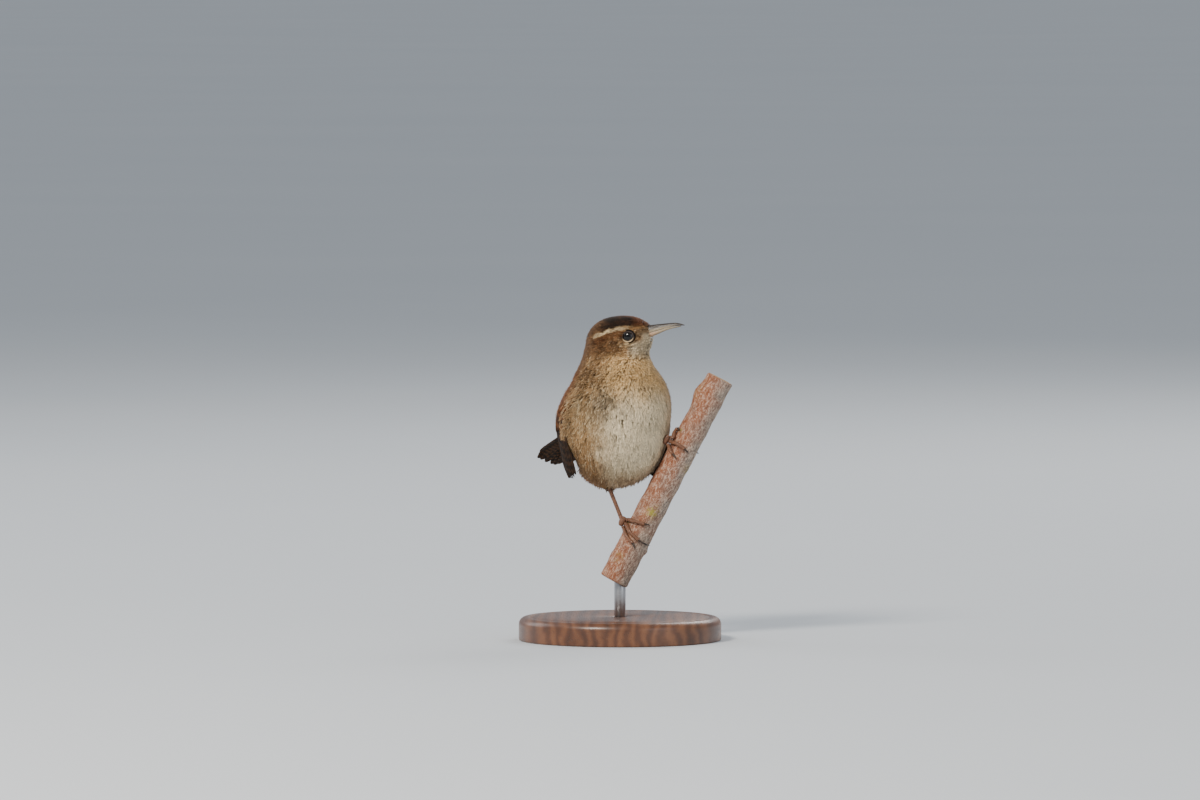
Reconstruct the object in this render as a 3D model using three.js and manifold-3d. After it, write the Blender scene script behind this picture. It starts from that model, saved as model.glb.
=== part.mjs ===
// A marsh wren, life size, gripping a slanted twig that stands on a plain wooden display base.
// Millimetres, +Z up, seen from -Y. The origin is the centre of the underside of the base.
import * as THREE from "three";
import { mergeVertices } from "three/addons/utils/BufferGeometryUtils.js";
import Module from "manifold-3d";

const wasm = await Module();
wasm.setup();

// Driving dimensions of the bird. The body axis is upright, and the head is turned to the bird's left.
const GAP = 0.3;
const BODY_YAW = 28;
const BODY_X = -3;
const BODY_Y = 4;
const HEAD_HEADING = 74;
const HEAD_PITCH = 6;
const HEAD_CENTRE = new THREE.Vector3(2.6, 2.0, 116.7);
const EYE_RADIUS = 2.7;
const EYE_AT = { forward: 2.6, up: 0.2 };
const EYE_BULGE = 0.8;
const LID_RADIUS = 2.2;
const LID_THICKNESS = 0.42;
const BILL_START = 9.9;
const BILL_TIP = 23.4;
const TARSUS_RADIUS = 0.8;
const TOE_RADIUS = 0.58;
const TAIL_LENGTH = 39;
const TAIL_DROP = 25;
const TAIL_SWING = 6;
const TAIL_ROLL = -14;
const TAIL_PAIRS = 6;
const RUMP_CUT = -24;
const VANE_THICKNESS = 0.5;

// Driving dimensions of the perch and of the stand.
const PERCH_LEAN = 27.8;
const PERCH_X = 0.4;
const PERCH_Z = 28.2;
const PERCH_FROM = -6;
const PERCH_TO = 82;
const PERCH_RADIUS = 5.8;
const PERCH_TAPER = 0.006;
const BASE_RADIUS = 39;
const BASE_HEIGHT = 9;
const ROD_RADIUS = 2.2;
const ROD_FROM = 5;
const ROD_TO = 31;

const radians = THREE.MathUtils.degToRad;
const lerp = THREE.MathUtils.lerp;
const smooth = THREE.MathUtils.smoothstep;
const UP = new THREE.Vector3(0, 0, 1);

// Directions and places named by forward, left and up of a part of the bird.
class Frame {
  constructor(centre, heading, pitch) {
    this.centre = centre;
    const level = new THREE.Vector3(Math.sin(radians(heading)), -Math.cos(radians(heading)), 0);
    this.left = new THREE.Vector3(Math.cos(radians(heading)), Math.sin(radians(heading)), 0);
    this.forward = level.multiplyScalar(Math.cos(radians(pitch))).addScaledVector(UP, Math.sin(radians(pitch)));
    this.up = new THREE.Vector3().crossVectors(this.forward, this.left);
  }

  at(forward, left, up) {
    return this.centre.clone()
      .addScaledVector(this.forward, forward)
      .addScaledVector(this.left, left)
      .addScaledVector(this.up, up);
  }

  local(point) {
    const offset = point.clone().sub(this.centre);
    return new THREE.Vector3(offset.dot(this.forward), offset.dot(this.left), offset.dot(this.up));
  }

  matrix(origin) {
    return new THREE.Matrix4().makeBasis(this.forward, this.left, this.up).setPosition(origin);
  }
}

const body = new Frame(new THREE.Vector3(BODY_X, BODY_Y, 0), BODY_YAW, 0);
const head = new Frame(HEAD_CENTRE, HEAD_HEADING, HEAD_PITCH);

// Distance fields of the rounded masses that feathers smooth into one body.
function ellipsoid(point, centre, radii) {
  const offset = point.clone().sub(centre);
  const near = offset.clone().divide(radii);
  const slope = near.clone().divide(radii);
  const k = near.length();
  return (k * (k - 1)) / Math.max(slope.length(), 1e-9);
}

function cone(point, from, to, radiusFrom, radiusTo) {
  const axis = to.clone().sub(from);
  const along = THREE.MathUtils.clamp(point.clone().sub(from).dot(axis) / axis.lengthSq(), 0, 1);
  return from.clone().addScaledVector(axis, along).distanceTo(point) - lerp(radiusFrom, radiusTo, along);
}

function blend(a, b, width) {
  const h = Math.max(width - Math.abs(a - b), 0) / width;
  return Math.min(a, b) - (h * h * width) / 4;
}

const vec = (x, y, z) => new THREE.Vector3(x, y, z);
const MASSES = {
  belly: { centre: vec(0.8, 0.8, 80.2), radii: vec(19.0, 20.6, 21.2) },
  breast: { centre: vec(3.0, 4.2, 92), radii: vec(15.6, 17.0, 15.0) },
  back: { centre: vec(-5.5, 0.4, 88), radii: vec(14.0, 15.0, 18.0) },
  skull: { centre: vec(-0.4, 0, 0.1), radii: vec(10.6, 7.8, 8.0) },
};
const CONES = {
  rump: [body.at(-10, 0, 83), body.at(-25.5, -0.5, 80.5), 9.5, 3.6],
  vent: [body.at(-4, 0, 72), body.at(-18, -0.3, 77), 10, 4.5],
  nape: [head.at(-7.0, 0, -1.9), body.at(-3.6, 0.8, 101), 9.2, 12.0],
  throat: [head.at(2.9, 0, -4.2), body.at(5.2, 4.0, 100), 5.0, 11.3],
  face: [head.at(2.6, 0, -0.4), head.at(9.4, 0, 1.9), 6.2, 1.7],
};

function bodyField(point) {
  const inBody = body.local(point);
  const inHead = head.local(point);
  const mass = (name, where) => ellipsoid(where, MASSES[name].centre, MASSES[name].radii);
  let torso = blend(mass("belly", inBody), mass("breast", inBody), 7);
  torso = blend(torso, mass("back", inBody), 7);
  torso = blend(torso, cone(point, ...CONES.rump), 7);
  torso = blend(torso, cone(point, ...CONES.vent), 6);
  const neck = blend(cone(point, ...CONES.nape), cone(point, ...CONES.throat), 4);
  const skull = blend(mass("skull", inHead), cone(point, ...CONES.face), 3);
  return blend(blend(torso, neck, 6), skull, 4);
}

// The last place along a ray that is inside the body.
function surfaceAt(origin, direction, reach) {
  let outside = reach;
  while (outside > 0.5 && bodyField(origin.clone().addScaledVector(direction, outside - 0.5)) > 0) {
    outside -= 0.5;
  }
  let inside = outside - 0.5;
  for (let i = 0; i < 14; i++) {
    const middle = (inside + outside) / 2;
    if (bodyField(origin.clone().addScaledVector(direction, middle)) > 0) outside = middle;
    else inside = middle;
  }
  return inside;
}

// Solids and the joins and cuts made on them.
function closedSolid(points, faces) {
  const geometry = new THREE.BufferGeometry().setFromPoints(points);
  geometry.setIndex(faces.flat());
  return solidFrom(geometry);
}

function solidFrom(geometry) {
  const bare = new THREE.BufferGeometry();
  bare.setAttribute("position", geometry.getAttribute("position"));
  bare.setIndex(geometry.index);
  const merged = mergeVertices(bare, 1e-4);
  const index = merged.index.array;
  const kept = [];
  for (let i = 0; i < index.length; i += 3) {
    const [a, b, c] = [index[i], index[i + 1], index[i + 2]];
    if (a !== b && b !== c && c !== a) kept.push(a, b, c);
  }
  const positions = new Float32Array(merged.attributes.position.array);
  const made = (order) =>
    new wasm.Manifold(
      new wasm.Mesh({ numProp: 3, vertProperties: positions, triVerts: new Uint32Array(order) }),
    );
  const solid = made(kept);
  if (solid.volume() > 0) return solid;
  for (let i = 0; i < kept.length; i += 3) [kept[i + 1], kept[i + 2]] = [kept[i + 2], kept[i + 1]];
  return made(kept);
}

function largest(solid) {
  return solid.decompose().reduce((a, b) => (b.volume() > a.volume() ? b : a));
}

function joined(solids) {
  return largest(wasm.Manifold.union(solids));
}

function geometryOf(solid) {
  const mesh = solid.getMesh();
  const geometry = new THREE.BufferGeometry();
  const positions = new Float32Array(mesh.numVert * 3);
  for (let i = 0; i < mesh.numVert; i++) {
    positions.set(mesh.vertProperties.subarray(i * mesh.numProp, i * mesh.numProp + 3), i * 3);
  }
  geometry.setAttribute("position", new THREE.BufferAttribute(positions, 3));
  geometry.setIndex(new THREE.BufferAttribute(new Uint32Array(mesh.triVerts), 1));
  geometry.computeVertexNormals();
  return geometry;
}

// A big block whose one face lies through a point, on the side that the direction points to.
function halfSpace(point, direction) {
  const size = 300;
  const block = new THREE.BoxGeometry(size, size, size).translate(0, 0, size / 2);
  block.applyQuaternion(new THREE.Quaternion().setFromUnitVectors(UP, direction.clone().normalize()));
  return solidFrom(block.translate(point.x, point.y, point.z));
}

// Rings of points, from a first pole to a last pole, closed into one solid.
function lofted(first, rings, last) {
  const points = [first, ...rings.flat(), last];
  const around = rings[0].length;
  const faces = [];
  const at = (row, column) => 1 + row * around + (column % around);
  for (let j = 0; j < around; j++) {
    faces.push([0, at(0, j + 1), at(0, j)]);
    for (let i = 0; i + 1 < rings.length; i++) {
      faces.push([at(i, j), at(i, j + 1), at(i + 1, j + 1)], [at(i, j), at(i + 1, j + 1), at(i + 1, j)]);
    }
    faces.push([points.length - 1, at(rings.length - 1, j), at(rings.length - 1, j + 1)]);
  }
  return closedSolid(points, faces);
}

// A round limb through the given points: its radius is a function of the share of the way along.
function limb(through, radiusAt, { sides = 8, steps = 8, grow = 0 } = {}) {
  const curve = new THREE.CatmullRomCurve3(through, false, "centripetal");
  const frames = curve.computeFrenetFrames(steps, false);
  const rings = [];
  for (let i = 0; i <= steps; i++) {
    const centre = curve.getPointAt(i / steps);
    if (i === 0) centre.addScaledVector(frames.tangents[0], -grow);
    if (i === steps) centre.addScaledVector(frames.tangents[steps], grow);
    const radius = radiusAt(i / steps) + grow;
    rings.push(Array.from({ length: sides }, (unused, j) => {
      const turn = (2 * Math.PI * j) / sides;
      return centre.clone()
        .addScaledVector(frames.normals[i], radius * Math.cos(turn))
        .addScaledVector(frames.binormals[i], radius * Math.sin(turn));
    }));
  }
  const middle = (ring) => ring.reduce((sum, p) => sum.add(p), new THREE.Vector3()).divideScalar(ring.length);
  return lofted(middle(rings[0]), rings, middle(rings[steps]));
}

// A thin curved plate: two like grids of points, split alike, with a rim between them.
function plate(outer, inner) {
  const rows = outer.length;
  const columns = outer[0].length;
  const points = [...outer.flat(), ...inner.flat()];
  const far = rows * columns;
  const faces = [];
  const quad = (a, b, c, d) => faces.push([a, b, c], [a, c, d]);
  for (let i = 0; i + 1 < rows; i++) {
    for (let j = 0; j + 1 < columns; j++) {
      const a = i * columns + j;
      quad(a, a + 1, a + columns + 1, a + columns);
      faces.push([far + a, far + a + columns + 1, far + a + 1], [far + a, far + a + columns, far + a + columns + 1]);
    }
  }
  for (let j = 0; j + 1 < columns; j++) {
    const b = (rows - 1) * columns + j;
    quad(far + j, far + j + 1, j + 1, j);
    quad(b, b + 1, far + b + 1, far + b);
  }
  for (let i = 0; i + 1 < rows; i++) {
    const a = i * columns;
    const b = a + columns - 1;
    quad(a, a + columns, far + a + columns, far + a);
    quad(far + b, far + b + columns, b + columns, b);
  }
  return closedSolid(points, faces);
}

// Head, neck and torso: one smooth surface found along rays from a line inside the bird.
const BODY_LOW = 76;
const BODY_HIGH = 114;
const CAP_ROWS = 6;
const SIDE_ROWS = 15;
const BODY_AROUND = 42;
const REACH = 40;

function wholeBody() {
  const coreAt = (z) => {
    const share = smooth(z, 96, BODY_HIGH);
    return new THREE.Vector3(lerp(BODY_X, HEAD_CENTRE.x, share), lerp(BODY_Y, HEAD_CENTRE.y, share), z);
  };
  const rows = [];
  for (let i = 1; i <= CAP_ROWS; i++) rows.push({ z: BODY_LOW, tilt: -90 + (90 * i) / (CAP_ROWS + 1) });
  for (let i = 0; i < SIDE_ROWS; i++) {
    rows.push({ z: lerp(BODY_LOW, BODY_HIGH, i / (SIDE_ROWS - 1)), tilt: 0 });
  }
  for (let i = 1; i <= CAP_ROWS; i++) rows.push({ z: BODY_HIGH, tilt: (90 * i) / (CAP_ROWS + 1) });
  const reachFrom = (z, direction) => {
    const origin = coreAt(z);
    return origin.addScaledVector(direction, surfaceAt(origin, direction, REACH));
  };
  const rings = rows.map(({ z, tilt }) =>
    Array.from({ length: BODY_AROUND }, (unused, j) => {
      const even = (2 * Math.PI * j) / BODY_AROUND;
      const turn = even + 0.45 * Math.sin(even);
      const level = Math.cos(radians(tilt));
      const direction = body.forward.clone().multiplyScalar(level * Math.cos(turn))
        .addScaledVector(body.left, level * Math.sin(turn))
        .addScaledVector(UP, Math.sin(radians(tilt)));
      return reachFrom(z, direction);
    }),
  );
  return lofted(reachFrom(BODY_LOW, UP.clone().negate()), rings, reachFrom(BODY_HIGH, UP));
}

const NECK_TOP = { point: head.at(-2.5, 0, -5), normal: vec(0, 0, 0) };
NECK_TOP.normal.addScaledVector(head.forward, 0.225).addScaledVector(head.up, 0.974);
const NECK_FOOT = { point: body.at(0, 0, 104), normal: vec(0, 0, 0) };
NECK_FOOT.normal.addScaledVector(body.forward, 0.19).addScaledVector(UP, 0.98);

function above(cut) {
  return halfSpace(cut.point.clone().addScaledVector(cut.normal, GAP / 2), cut.normal);
}

function below(cut) {
  return halfSpace(cut.point.clone().addScaledVector(cut.normal, -GAP / 2), cut.normal.clone().negate());
}

// Eyes: the ball is set so that only its cap stands out of the cheek.
function eyeCentre(side) {
  const inside = head.at(EYE_AT.forward, 0, EYE_AT.up);
  const outward = head.left.clone().multiplyScalar(side);
  const reach = surfaceAt(inside, outward, 12);
  return inside.addScaledVector(outward, reach - EYE_RADIUS + EYE_BULGE);
}

function ball(centre, radius) {
  return solidFrom(new THREE.SphereGeometry(radius, 14, 10).translate(centre.x, centre.y, centre.z));
}

function lids(side) {
  const ring = new THREE.TorusGeometry(LID_RADIUS, LID_THICKNESS, 5, 16).rotateX(Math.PI / 2);
  const out = side * (EYE_RADIUS - EYE_BULGE + 0.1);
  ring.applyMatrix4(head.matrix(eyeCentre(side).addScaledVector(head.left, out)));
  return solidFrom(ring);
}

// Bill: the culmen, the line of the mouth and the lower edge, as heights at stations along the head.
const STATIONS = [BILL_START, 11.4, 13.2, 15.4, 17.8, 20.2, 22.0, BILL_TIP];
const CULMEN = [3.72, 3.72, 3.76, 3.76, 3.74, 3.6, 3.15, 2.55];
const MOUTH = [0.75, 1.0, 1.35, 1.75, 2.1, 2.32, 2.32, 2.2];
const LOWER = [-0.9, -0.45, 0.1, 0.85, 1.4, 1.72, 1.95, 1.95];
const HALF_WIDTH = [1.75, 1.55, 1.35, 1.15, 0.95, 0.75, 0.5, 0.22];
const ARCH_STEPS = 8;

function mandible(edge, seam, stations) {
  const rings = [];
  for (let k = 0; k < stations; k++) {
    const ring = [];
    for (let i = 0; i <= ARCH_STEPS; i++) {
      const turn = (Math.PI * i) / ARCH_STEPS;
      const rise = (edge[k] - seam[k]) * Math.sin(turn);
      ring.push(head.at(STATIONS[k], HALF_WIDTH[k] * Math.cos(turn), seam[k] + rise));
    }
    rings.push(ring);
  }
  const middle = (k) => head.at(STATIONS[k], 0, (edge[k] + seam[k]) / 2);
  return lofted(middle(0), rings, middle(stations - 1));
}

function upperBill() {
  const shape = mandible(CULMEN, MOUTH.map((u) => u + GAP / 2), STATIONS.length);
  const nostrils = [-1, 1].map((side) =>
    solidFrom(new THREE.BoxGeometry(2.0, 0.7, 0.4).applyMatrix4(head.matrix(head.at(12.3, side * 1.55, 2.4)))));
  return largest(shape.subtract(wasm.Manifold.union(nostrils)));
}

function lowerBill() {
  return mandible(LOWER, MOUTH.map((u) => u - GAP / 2), STATIONS.length - 1);
}

// Perch: a twig with a slight bend, swellings and a bud scar, in its own round coordinates.
const perchAxis = vec(Math.sin(radians(PERCH_LEAN)), 0, Math.cos(radians(PERCH_LEAN)));
const perchLeft = vec(-Math.cos(radians(PERCH_LEAN)), 0, Math.sin(radians(PERCH_LEAN)));
const perchFront = vec(0, -1, 0);
const perchFoot = vec(PERCH_X, 0, PERCH_Z);
const PERCH_KNOTS = [
  { along: 24.5, turn: 95, height: 0.7, spread: 2.2 },
  { along: 9.5, turn: 170, height: 0.9, spread: 1.6 },
  { along: 45, turn: 150, height: 0.6, spread: 2.0 },
  { along: 70, turn: -60, height: 0.8, spread: 2.4 },
  { along: 74, turn: 5, height: 1.3, spread: 4.5 },
];

function perchRadius(along) {
  return PERCH_RADIUS - PERCH_TAPER * along;
}

function onPerch(along, turn, height) {
  const distance = perchRadius(along) + height;
  return perchFoot.clone().addScaledVector(perchAxis, along)
    .addScaledVector(perchLeft, distance * Math.cos(radians(turn)))
    .addScaledVector(perchFront, distance * Math.sin(radians(turn)));
}

function perchSurface(along, turn) {
  let swell = 0.1 * Math.sin(along * 0.55 + 2 * radians(turn)) - 0.14;
  for (const knot of PERCH_KNOTS) {
    const arc = PERCH_RADIUS * radians(((turn - knot.turn + 540) % 360) - 180);
    const away = Math.hypot(along - knot.along, arc) / knot.spread;
    swell += knot.height * Math.exp(-away * away);
  }
  return onPerch(along, turn, swell);
}

function perch() {
  const around = 16;
  const steps = 24;
  const rings = [];
  for (let i = 0; i <= steps; i++) {
    const along = lerp(PERCH_FROM, PERCH_TO, i / steps);
    rings.push(Array.from({ length: around }, (unused, j) => perchSurface(along, (-360 * j) / around)));
  }
  const centre = (along) => onPerch(along, 0, -perchRadius(along));
  const twig = lofted(centre(PERCH_FROM), rings, centre(PERCH_TO));
  return largest(twig.subtract(rod(ROD_RADIUS + GAP, 0, ROD_TO + GAP)));
}

// Stand: a turned disc and one upright rod that is plugged into the twig.
function rod(radius, from, to) {
  const shaft = new THREE.CylinderGeometry(radius, radius, to - from, 24).rotateX(Math.PI / 2);
  return solidFrom(shaft.translate(0, 0, (from + to) / 2));
}

function base() {
  const bevel = 1.4;
  const hole = ROD_RADIUS + GAP;
  const profile = [
    [0, 0], [BASE_RADIUS - bevel / 2, 0], [BASE_RADIUS, bevel / 2], [BASE_RADIUS, BASE_HEIGHT - 2 * bevel],
    [BASE_RADIUS - 0.3 * bevel, BASE_HEIGHT - bevel], [BASE_RADIUS - bevel, BASE_HEIGHT - 0.3 * bevel],
    [BASE_RADIUS - 2 * bevel, BASE_HEIGHT], [hole, BASE_HEIGHT], [hole, ROD_FROM - GAP], [0, ROD_FROM - GAP],
  ].map(([r, z]) => new THREE.Vector2(r, z));
  return solidFrom(new THREE.LatheGeometry(profile, 32).rotateX(Math.PI / 2));
}

// Legs: a feathered thigh that leaves the belly, a thin tarsus, and toes laid round the twig.
const LEGS = {
  right: {
    thigh: [vec(-7.4, 3.4, 67), vec(-5.6, 2.2, 62), vec(-3.9, 0.9, 58)],
    hub: { along: 15.9, turn: 12, height: 2.2 },
    toes: {
      inner: [[17.6, 24], [18.3, 55], [19.1, 88]],
      middle: [[15.5, 28], [13.8, 58], [12.7, 95]],
      outer: [[13.6, 26], [11.8, 54], [10.6, 82]],
      hind: [[16.2, -14], [16.8, -55], [17.2, -100]],
    },
    claws: {
      inner: [[19.3, 92], [19.6, 102], [19.7, 112]],
      middle: [[12.6, 100], [12.4, 128], [12.5, 162]],
      outer: [[10.3, 88], [9.6, 96], [8.6, 104]],
      hind: [[17.2, -105], [17.3, -125], [17.3, -148]],
    },
  },
  left: {
    thigh: [vec(8.5, 8.6, 70), vec(12.6, 9.4, 70.8), vec(16.0, 9.0, 72.0)],
    hub: { along: 51.6, turn: 14, height: 2.2 },
    toes: {
      inner: [[49.8, 30], [48.8, 46], [48.0, 62]],
      middle: [[51.8, 34], [52.3, 62], [51.9, 88]],
      outer: [[53.8, 26], [55.6, 16], [57.2, 22]],
      hind: [[51.6, -6], [51.9, -60], [52.2, -118]],
    },
    claws: {
      inner: [[47.9, 67], [47.4, 76], [46.8, 84]],
      middle: [[51.8, 93], [51.5, 103], [51.2, 113]],
      outer: [[57.6, 29], [57.6, 36], [57.2, 43]],
      hind: [[52.3, -123], [52.4, -148], [52.5, -174]],
    },
  },
};
const CLAW_RADIUS = 0.45;
const CLAW_TIP = 0.16;

function toeRadius(share) {
  return TOE_RADIUS * (1 - 0.15 * share + 0.06 * Math.cos(share * 4 * Math.PI));
}

function tarsusLine(leg) {
  const ankle = leg.thigh[2].clone();
  const hub = onPerch(leg.hub.along, leg.hub.turn, leg.hub.height);
  const way = hub.clone().sub(ankle).normalize();
  return [ankle.addScaledVector(way, GAP), ankle.clone().lerp(hub, 0.5), hub];
}

function thigh(leg, grow) {
  return limb(leg.thigh, (share) => lerp(4.2, 1.25, smooth(share, 0, 1)), { sides: 12, steps: 5, grow });
}

function tarsus(leg, grow) {
  const radiusAt = (share) => TARSUS_RADIUS * (1 - 0.12 * Math.sin(Math.PI * share));
  const shank = limb(tarsusLine(leg), radiusAt, { sides: 8, steps: 4, grow });
  const { along, turn, height } = leg.hub;
  const foot = limb(
    [onPerch(along + 1.9, turn, height), onPerch(along, turn, height), onPerch(along - 1.9, turn, height)],
    () => 1.0, { sides: 8, steps: 4, grow });
  return joined([shank, foot]);
}

function toe(route) {
  const through = route.map(([along, turn]) => onPerch(along, turn, GAP + TOE_RADIUS + 0.3));
  return limb(through, toeRadius, { sides: 7, steps: 7 });
}

function claw(route) {
  const lift = [0.3, 0.7, 0.35];
  const through = route.map(([along, turn], i) => onPerch(along, turn, GAP + CLAW_RADIUS + 0.15 + lift[i]));
  return limb(through, (share) => lerp(CLAW_RADIUS, CLAW_TIP, share), { sides: 6, steps: 5 });
}

// Wings: overlapping feathers on a thin plate that follows the flank, in arc and height about the body axis.
const WRAP = 19.5;
const WING_RISE = 1.1;
const WING_PLATE = 0.3;
const WING_EDGE = [
  { z: 101.5, front: 80, back: 98 },
  { z: 97.5, front: 78, back: 118 },
  { z: 92, front: 85, back: 134 },
  { z: 86, front: 90, back: 144 },
  { z: 80, front: 94, back: 148 },
  { z: 74, front: 97, back: 143 },
  { z: 68, front: 99, back: 130 },
];

function wingRadius(side, turn, z) {
  const low = 74;
  const level = Math.max(z, low);
  const direction = body.forward.clone().multiplyScalar(Math.cos(turn))
    .addScaledVector(body.left, side * Math.sin(turn));
  const slim = (height) => Math.sqrt(1 - ((height - 80) / 30) ** 2);
  const reach = surfaceAt(body.at(0, 0, level), direction, REACH);
  return z < low ? (reach * slim(z)) / slim(low) : reach;
}

function onWing(side, arc, z, lift) {
  const turn = arc / WRAP;
  const radius = wingRadius(side, turn, z) + WING_RISE + lift;
  return body.at(radius * Math.cos(turn), side * radius * Math.sin(turn), z);
}

function wingPlate(side) {
  const columns = 7;
  const grid = (lift) =>
    WING_EDGE.map(({ z, front, back }) =>
      Array.from({ length: columns }, (unused, j) =>
        onWing(side, WRAP * radians(lerp(front, back, j / (columns - 1))), z, lift)));
  return plate(grid(WING_PLATE), grid(-WING_PLATE));
}

const RIBBED = [-1, 0, 1];
const FLAT = [-1, 1];

// A row of feathers: its first and last root and tip, as arc in degrees and height, with the lie of each vane.
const WING_ROWS = [
  { name: "primaries", count: 8, roots: [[99, 87], [116, 86]], tips: [[97, 67.5], [123, 62.5]],
    half: 1.75, low: 0.1, high: 0.7, steps: 4, edges: FLAT, dip: 2.6 },
  { name: "secondaries", count: 6, roots: [[114, 88], [136, 88]], tips: [[124, 64], [142, 68.5]],
    half: 2.0, low: 0.2, high: 0.9, steps: 4, edges: FLAT, dip: 0 },
  { name: "tertials", count: 3, roots: [[134, 92], [144, 91]], tips: [[139, 69], [151, 76]],
    half: 2.5, low: 0.4, high: 1.15, steps: 4, edges: RIBBED, dip: 0 },
  { name: "greater coverts", count: 7, roots: [[92, 92], [139, 91]], tips: [[97, 81.5], [143, 81]],
    half: 2.1, low: 0.5, high: 1.3, steps: 3, edges: FLAT, dip: 0.8 },
  { name: "median coverts", count: 6, roots: [[85, 98], [126, 97]], tips: [[92, 89.5], [134, 89]],
    half: 2.2, low: 0.8, high: 1.6, steps: 3, edges: FLAT, dip: 0.6 },
];
const ROOT_SINK = 0.15;
const VARIATION = 0.35;

// A repeatable draw between -1 and 1.
function drawn(seed) {
  const wave = Math.sin(seed * 127.1 + 311.7) * 43758.5453;
  return 2 * (wave - Math.floor(wave)) - 1;
}

function vaneWidth(share) {
  return share < 0.7 ? lerp(0.7, 1, smooth(share, 0, 0.45)) : Math.sqrt(1 - 0.86 * ((share - 0.7) / 0.3) ** 2);
}

// One vane on a wing: it narrows to a round tip, and its front edge lies over the vane before it.
function wingVane(side, root, tip, { half, low, high, steps, edges }) {
  const from = new THREE.Vector2(WRAP * radians(root[0]), root[1]);
  const to = new THREE.Vector2(WRAP * radians(tip[0]), tip[1]);
  const across = to.clone().sub(from).normalize().rotateAround(new THREE.Vector2(), Math.PI / 2);
  const grid = (thick) =>
    Array.from({ length: steps + 1 }, (unused, i) => {
      const share = i / steps;
      const along = 1 - (1 - share) ** 1.3;
      const centre = from.clone().lerp(to, along);
      const sink = -ROOT_SINK * (1 - smooth(share, 0, 0.4));
      return edges.map((edge) => {
        const place = centre.clone().addScaledVector(across, edge * half * vaneWidth(along));
        const tilt = lerp(high, low, (edge + 1) / 2);
        return onWing(side, place.x, place.y, sink + tilt + (edge === 0 ? 0.12 : 0) + thick);
      });
    });
  return plate(grid(VANE_THICKNESS), grid(0));
}

function wing(side) {
  const vanes = WING_ROWS.flatMap((row, r) =>
    Array.from({ length: row.count }, (unused, i) => {
      const share = i / (row.count - 1);
      const mix = (ends, k) => lerp(ends[0][k], ends[1][k], share);
      const seed = 100 * r + 10 * i + side;
      const dip = row.dip * Math.sin(Math.PI * share);
      const tip = [mix(row.tips, 0) + VARIATION * drawn(seed), mix(row.tips, 1) - dip + VARIATION * drawn(seed + 5)];
      return wingVane(side, [mix(row.roots, 0), mix(row.roots, 1)], tip, row);
    }));
  return joined([wingPlate(side), ...vanes]);
}

// Tail: pairs of feathers that overlap from a root that meets the rump, the middle pair on top.
const tailRoot = body.at(RUMP_CUT, -0.4, 80.4);
const tailFrame = new Frame(tailRoot, BODY_YAW - TAIL_SWING, TAIL_DROP);
const tailTurn = new THREE.Quaternion().setFromAxisAngle(tailFrame.forward, radians(TAIL_ROLL));
const tailLeft = tailFrame.left.clone().applyQuaternion(tailTurn);
const tailUp = tailFrame.up.clone().applyQuaternion(tailTurn);

function onTail(back, left, up) {
  return tailRoot.clone().addScaledVector(tailFrame.forward, -back)
    .addScaledVector(tailLeft, left).addScaledVector(tailUp, up);
}

function tailStub() {
  const sides = 14;
  const start = -2.5;
  const sections = [
    { back: start, wide: 3.6, deep: 3.5 },
    { back: 3, wide: 3.8, deep: 2.9 },
    { back: 7.5, wide: 3.7, deep: 2.1 },
    { back: 12, wide: 3.2, deep: 1.3 },
  ];
  const rings = sections.map(({ back, wide, deep }) =>
    Array.from({ length: sides }, (unused, j) => {
      const turn = (2 * Math.PI * j) / sides;
      return onTail(back, wide * Math.cos(turn), deep * Math.sin(turn));
    }));
  return lofted(onTail(start, 0, 0), rings, onTail(sections.at(-1).back, 0, 0));
}

const TAIL_VANE = { start: 4, half: 1.95, spread: 0.5, fan: 1.35, layer: 0.22, shorter: 0.4 };

// Feather number pair on one side: outer ones lie lower, a little turned out and a little shorter.
function tailVane(pair, side) {
  const { start, half, spread, fan, layer, shorter } = TAIL_VANE;
  const steps = 5;
  const long = TAIL_LENGTH - shorter * pair * pair + VARIATION * drawn(17 * pair + side);
  const turn = radians(side * fan * (pair + 0.5));
  const level = 1.0 - layer * (2 * pair + (side > 0 ? 1 : 0));
  const grid = (thick) =>
    Array.from({ length: steps + 1 }, (unused, i) => {
      const share = 1 - (1 - i / steps) ** 1.3;
      const back = lerp(start, long, share);
      return RIBBED.map((edge) => {
        const aside = side * spread * (pair + 0.5) + edge * half * vaneWidth(share);
        return onTail(
          back * Math.cos(turn) - 0.8 * Math.abs(edge) * share,
          aside + back * Math.sin(turn),
          level + (edge === 0 ? 0.15 : 0) + thick);
      });
    });
  return plate(grid(VANE_THICKNESS), grid(0));
}

function tail() {
  const vanes = [];
  for (let pair = 0; pair < TAIL_PAIRS; pair++) vanes.push(tailVane(pair, 1), tailVane(pair, -1));
  const behindRump = halfSpace(body.at(RUMP_CUT - GAP, 0, 0), body.forward.clone().negate());
  return largest(joined([tailStub(), ...vanes]).intersect(behindRump));
}

// The scene graph: one named mesh for each part.
const FINISH = {
  plumage: { color: 0x9a7a55, roughness: 0.95, metalness: 0 },
  vane: { color: 0x6b4a2e, roughness: 0.85, metalness: 0 },
  horn: { color: 0x4a3f38, roughness: 0.45, metalness: 0 },
  paleHorn: { color: 0xb9a67e, roughness: 0.45, metalness: 0 },
  scale: { color: 0x8a5a3c, roughness: 0.6, metalness: 0 },
  eye: { color: 0x120c08, roughness: 0.05, metalness: 0 },
  bark: { color: 0xa5674a, roughness: 0.9, metalness: 0 },
  wood: { color: 0x6a4527, roughness: 0.5, metalness: 0 },
  steel: { color: 0x9a9a9a, roughness: 0.35, metalness: 1 },
};
const wren = new THREE.Group();

function add(parent, name, solid, finish) {
  const mesh = new THREE.Mesh(geometryOf(solid), new THREE.MeshStandardMaterial(FINISH[finish]));
  mesh.name = name;
  parent.add(mesh);
}

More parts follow.
